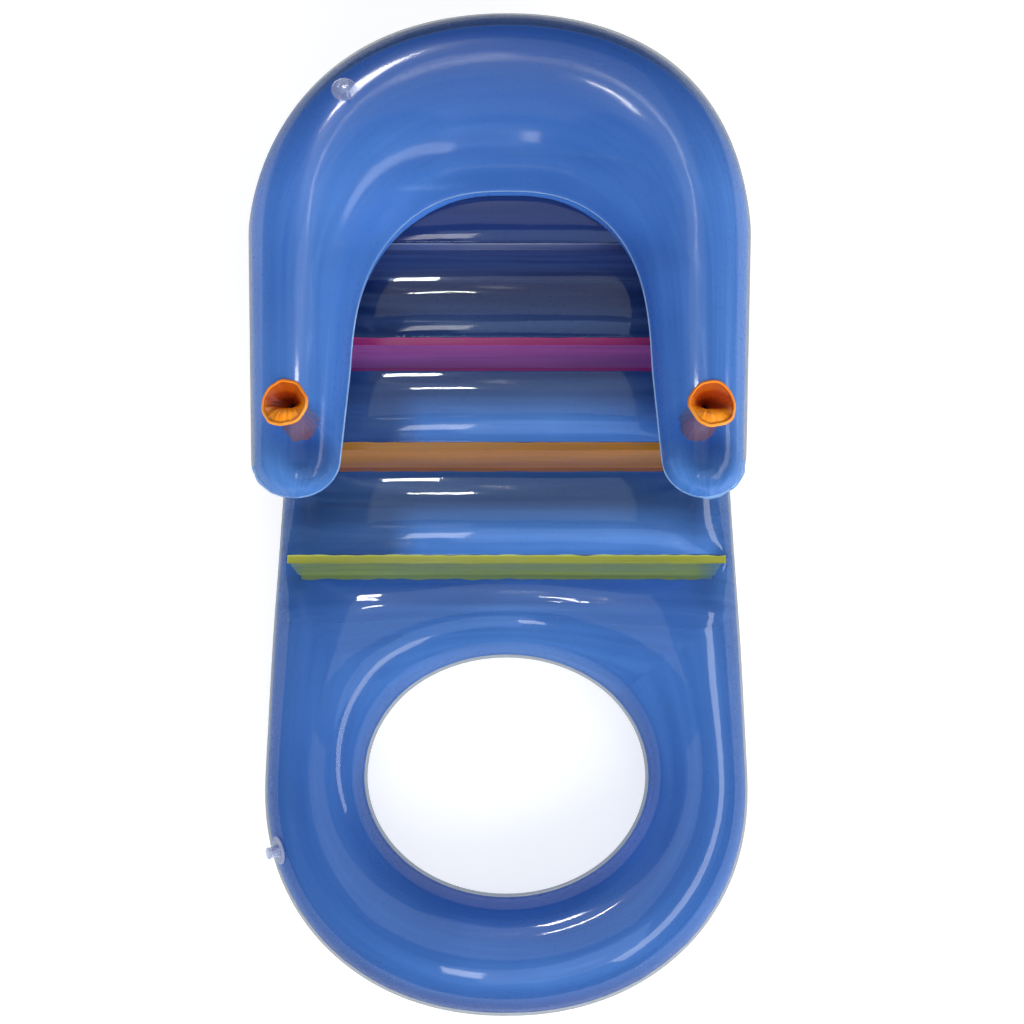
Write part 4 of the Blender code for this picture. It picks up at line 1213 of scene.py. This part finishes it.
def valve(name, look):
    """A valve's four pieces: the moulding, stopper and flap each ride on their body, and the strap is baked
    in place.
    """
    seat, axis, across = (Vector(v) for v in VALVES[name])
    place = Matrix.Translation(seat) @ Matrix((across.cross(axis), across, axis)).transposed().to_4x4()
    lip = VALVE_FLANGE_THICKNESS
    top = lip + VALVE_NECK_HEIGHT
    cap = top + GAP
    middle = cap + STOPPER_CAP_THICKNESS / 2
    near = STOPPER_CAP_RADIUS - TETHER_BITE
    foot_x = STOPPER_CAP_RADIUS + GAP + TETHER_REACH
    base = valve_base(name, top, lip, place, look)
    stopper = valve_stopper(name, cap, place, look)
    strap = valve_strap(name, strap_line(near, foot_x, middle, lip), place, look)
    flap = valve_flap(name, place, look)
    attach(base, "lounger")
    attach(stopper, f"{name}_stopper")
    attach(flap, f"{name}_flap")
    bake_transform(strap)


# The lounger

# The two shades of the beams' webs, flanges and free top edges. A beam's parts are all one film, so their
# lighter and darker copies of its colour are painted light and shade.
STRIP_SHADES = {
    "web": {
        "yellow": ((0.46, 0.44, 0.03), (0.60, 0.58, 0.05)),
        "amber": ((0.74, 0.26, 0.020), (0.88, 0.34, 0.03)),
        "magenta": ((0.42, 0.08, 0.30), (0.56, 0.12, 0.42)),
        "inner_blue": ((0.05, 0.08, 0.24), (0.12, 0.17, 0.40)),
    },
    "flange": {
        "yellow": ((0.34, 0.36, 0.03), (0.52, 0.54, 0.07)),
        "amber": ((0.46, 0.17, 0.004), (0.64, 0.25, 0.008)),
        "magenta": ((0.44, 0.010, 0.15), (0.60, 0.018, 0.22)),
        "inner_blue": ((0.10, 0.14, 0.34), (0.20, 0.26, 0.50)),
    },
    "edge": {
        "yellow": ((0.56, 0.60, 0.06), (0.70, 0.74, 0.12)),
        "amber": ((0.62, 0.24, 0.004), (0.80, 0.32, 0.010)),
        "magenta": ((0.60, 0.012, 0.16), (0.74, 0.022, 0.24)),
        "inner_blue": ((0.44, 0.52, 0.78), (0.60, 0.68, 0.92)),
    },
}

# Each beam's colour and slot
BEAM_COLOURS = {
    "yellow": ("yellow", "yellow_film"),
    "orange": ("amber", "amber_film"),
    "magenta": ("magenta", "magenta_film"),
    "blue": ("inner_blue", "beam_blue_film"),
    "head": ("inner_blue", "beam_blue_film"),
}

# Painted shade under the arch and on the foot ring's steep slopes; a painted light band facing the feet
film_body_top = film(
    "body_top_vinyl", (0.066, 0.225, 0.680), (0.105, 0.300, 0.820), (0.85, 0.92, 0.97), 0.14, 0.50,
    head=((0.012, 0.042, 0.220), 0.12, 0.32), bore=VALVES["body"][0], sides=0.30, painted_slope_shade=(0.018, 0.085, 0.330),
)
# A darker copy of the same blue, painted shade inside the chamber, darker still towards the head
film_body_bottom = film(
    "body_bottom_vinyl", (0.030, 0.105, 0.330), (0.055, 0.155, 0.470), (0.30, 0.48, 0.85), 0.97,
    head=((0.012, 0.040, 0.200), -0.10, 0.36), mirror=0.1,
)
# Painted shade towards the crown; clearer round the pockets, with a painted shadow of the sleeves below
film_rest_top = film(
    "backrest_top_vinyl", (0.084, 0.258, 0.715), (0.120, 0.325, 0.830), (0.75, 0.85, 0.96), 0.66, 0.04,
    head=((0.010, 0.055, 0.220), 0.41, 0.68), bore=VALVES["backrest"][0], mirror=0.6, smear=(0.07, 0.13),
    clear_and_shadow_spots=(
        ((-0.295, 0.030, 0.27), 0.060), ((0.295, 0.030, 0.27), 0.060),
        ((-0.273, -0.006, 0.27), 0.046), ((0.309, -0.006, 0.27), 0.046),
    ),
)
# Painted shadow of the pocket sleeves: darker from the pockets to the arm ends
film_rest_bottom = film(
    "backrest_bottom_vinyl", (0.070, 0.240, 0.760), (0.100, 0.310, 0.900), (0.30, 0.48, 0.85), 0.96,
    head=((0.030, 0.090, 0.300), 0.07, 0.01), mirror=0.1,
)
rim_look = weld("welded_rim", (0.40, 0.43, 0.45), (0.86, 0.88, 0.88), 0.50)
seam_look = weld("arch_seam", (0.34, 0.56, 0.95), (0.70, 0.84, 1.0), 0.85)
band_yellow = weld("weld_over_yellow", (0.60, 0.62, 0.50), (0.98, 0.98, 0.98), 0.04)
band_clear = weld("weld_over_beam", (0.30, 0.30, 0.40), (0.94, 0.93, 0.95), 0.06)
bands = [band_yellow] + [band_clear] * (len(BEAM_NAMES) - 1)
strips = {
    (part, colour): strip(f"{colour}_{part}_vinyl", *shades)
    for part, colours in STRIP_SHADES.items()
    for colour, shades in colours.items()
}
orange = [
    pocket_film("orange_vinyl", (1.0, 0.25, 0.004), (1.0, 0.36, 0.010), (0.33, 0.035, 0.001)),
    # Lighter copy of the orange film on the rolled rim, a painted highlight
    pocket_film("orange_rim_vinyl", (1.0, 0.30, 0.020), (1.0, 0.42, 0.060), (0.90, 0.24, 0.010)),
]
valve_look = clear_vinyl("clear_moulded_vinyl")

body_looks = {
    "top": [film_body_top, rim_look] + bands,
    "bottom": [film_body_bottom, rim_look] + [film_body_bottom] * len(bands),
}
rest_looks = {"top": [film_rest_top, rim_look, seam_look], "bottom": [film_rest_bottom, rim_look, seam_look]}
body_top, body_bottom, tube_seam = body_films(body_looks)
rest_top, rest_bottom = backrest_films(tree_of(body_top), rest_looks)
for piece in (body_top, body_bottom, rest_top, rest_bottom):
    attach(piece, "lounger")

for name, place in zip(BEAM_NAMES, BEAM_PLACES):
    colour, slot = BEAM_COLOURS[name]
    looks = [strips[part, colour] for part in ("flange", "web", "edge")]
    piece = beam_film(name, place, tube_seam, looks)
    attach(piece, "lounger")

rest_tree = tree_of(rest_top)
pocket_x = OUTER_HALF_WIDTH - ARMREST_END_INSET - ARMREST_END_WIDTH / 2 + POCKET_OFFSET
pocket_y = ARM_TIP_Y + POCKET_FROM_ARM_END - MIDDLE_Y
for side, sign in (("left", -1), ("right", 1)):
    x, lean = sign * pocket_x, -sign * POCKET_LEAN
    folds = pocket_folds(FOLD_SEEDS[side])
    sleeve = pocket_sleeve(side, x, pocket_y, lean, rest_tree, folds, orange)
    floor = pocket_floor(side, x, pocket_y, lean, rest_tree, folds, orange[0])
    for piece in (sleeve, floor):
        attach(piece, "lounger")
for sign in (-1, 1):
    hole(rest_top, (sign * pocket_x, pocket_y), POCKET_MOUTH_RADIUS - HOLE_INSET)

for name in VALVES:
    valve(name, valve_look)


# Floor, light and camera

# Cards that only the gloss sees: place, aim, width, height, radiance, colour and turn
CARDS = {
    "ceiling_window": ((-0.05, 0.6, 2.5), (-0.05, 0.6, 0.0), 1.55, 3.5, 1.1, (0.88, 0.94, 1.0)),
    "ceiling_lamp_a": ((-0.57, 2.00, 2.45), (-0.57, 2.00, 0.0), 0.44, 0.40, 60.0),
    "ceiling_lamp_b": ((-0.31, 0.72, 2.45), (-0.31, 0.72, 0.0), 0.33, 0.09, 60.0),
    "foot_card": ((0.55, -2.3, 2.05), (0.0, 0.0, 0.1), 1.8, 1.3, 2.0, (0.50, 0.70, 1.0)),
    "foot_lamp": ((-0.34, -2.3, 2.0), (0.0, 0.0, 0.1), 0.34, 0.50, 9.0),
    "right_strip": ((3.2, -1.2, 2.35), (-0.2, 0.45, 0.3), 6.2, 0.80, 6.0),
    "crown_lamp": ((-0.04, 1.20, 2.5), (-0.04, 1.20, 0.0), 0.06, 0.30, 50.0, WHITE, 0.25),
}

# Lamps that light the object and that the gloss doesn't see: place, aim, width, height and radiance
LAMPS = {
    "room_light": ((0.0, 0.4, 3.0), (0.0, 0.2, 0.0), 3.0, 3.0, 0.25),
    "foot_window": ((1.0, -3.6, 1.9), (0.0, 0.0, 0.1), 4.2, 2.2, 6.3),
    "right_window": ((3.6, 0.4, 1.3), (0.0, 0.0, 0.1), 2.4, 1.6, 3.6),
    "left_window": ((-3.6, 0.4, 1.0), (0.0, 0.0, 0.1), 2.4, 1.6, 2.6),
}
FLOOR_SIZE = 40.0
CAMERA_PLACE = (0.0197, -0.553, 1.70)
CAMERA_TILT = 18.0
CAMERA_LENS_MM = 36.9
SENSOR_WIDTH_MM = 36.0


def softbox(name, place, aim, width, height, radiance, colour=WHITE, turn=0.0):
    lamp = bpy.data.lights.new(name, "AREA")
    lamp.shape = "RECTANGLE"
    lamp.size = width
    lamp.size_y = height
    lamp.color = colour
    lamp.energy = radiance * math.pi * width * height
    thing = bpy.data.objects.new(name, lamp)
    thing.location = place
    thing.rotation_euler = (Vector(aim) - Vector(place)).to_track_quat("-Z", "Y").to_euler()
    thing.rotation_euler.z += turn
    bpy.context.scene.collection.objects.link(thing)
    return thing


def studio_world():
    """A pale room that the camera sees as white and the gloss as a dim blue."""
    n = Nodes(bpy.data.worlds.new("studio"))
    path = n.add("ShaderNodeLightPath").outputs
    white = n.add("ShaderNodeBackground", {"Color": WHITE, "Strength": 1.0}).outputs[0]
    room = n.add("ShaderNodeBackground", {"Color": WHITE, "Strength": 0.24}).outputs[0]
    dim = n.add("ShaderNodeBackground", {"Color": (0.30, 0.38, 0.60), "Strength": 0.30}).outputs[0]
    unseen = n.mix(path["Is Glossy Ray"], room, dim)
    return n.finish(n.mix(path["Is Camera Ray"], unseen, white), "ShaderNodeOutputWorld")


for name, card in CARDS.items():
    softbox(name, *card).visible_diffuse = False
for name, lamp in LAMPS.items():
    softbox(name, *lamp).visible_glossy = False
bpy.context.scene.world = studio_world()

bpy.ops.mesh.primitive_plane_add(size=FLOOR_SIZE, location=(0.0, 0.0, 0.0))
floor = bpy.context.object
floor.name = "floor"
floor.data.materials.append(floor_finish("pale_floor"))

camera = bpy.data.objects.new("camera", bpy.data.cameras.new("camera"))
camera.data.lens = CAMERA_LENS_MM
camera.data.sensor_width = SENSOR_WIDTH_MM
camera.location = CAMERA_PLACE
camera.rotation_euler = (math.radians(CAMERA_TILT), 0.0, 0.0)
bpy.context.scene.collection.objects.link(camera)
bpy.context.scene.camera = camera
bpy.context.scene.view_settings.view_transform = "Standard"
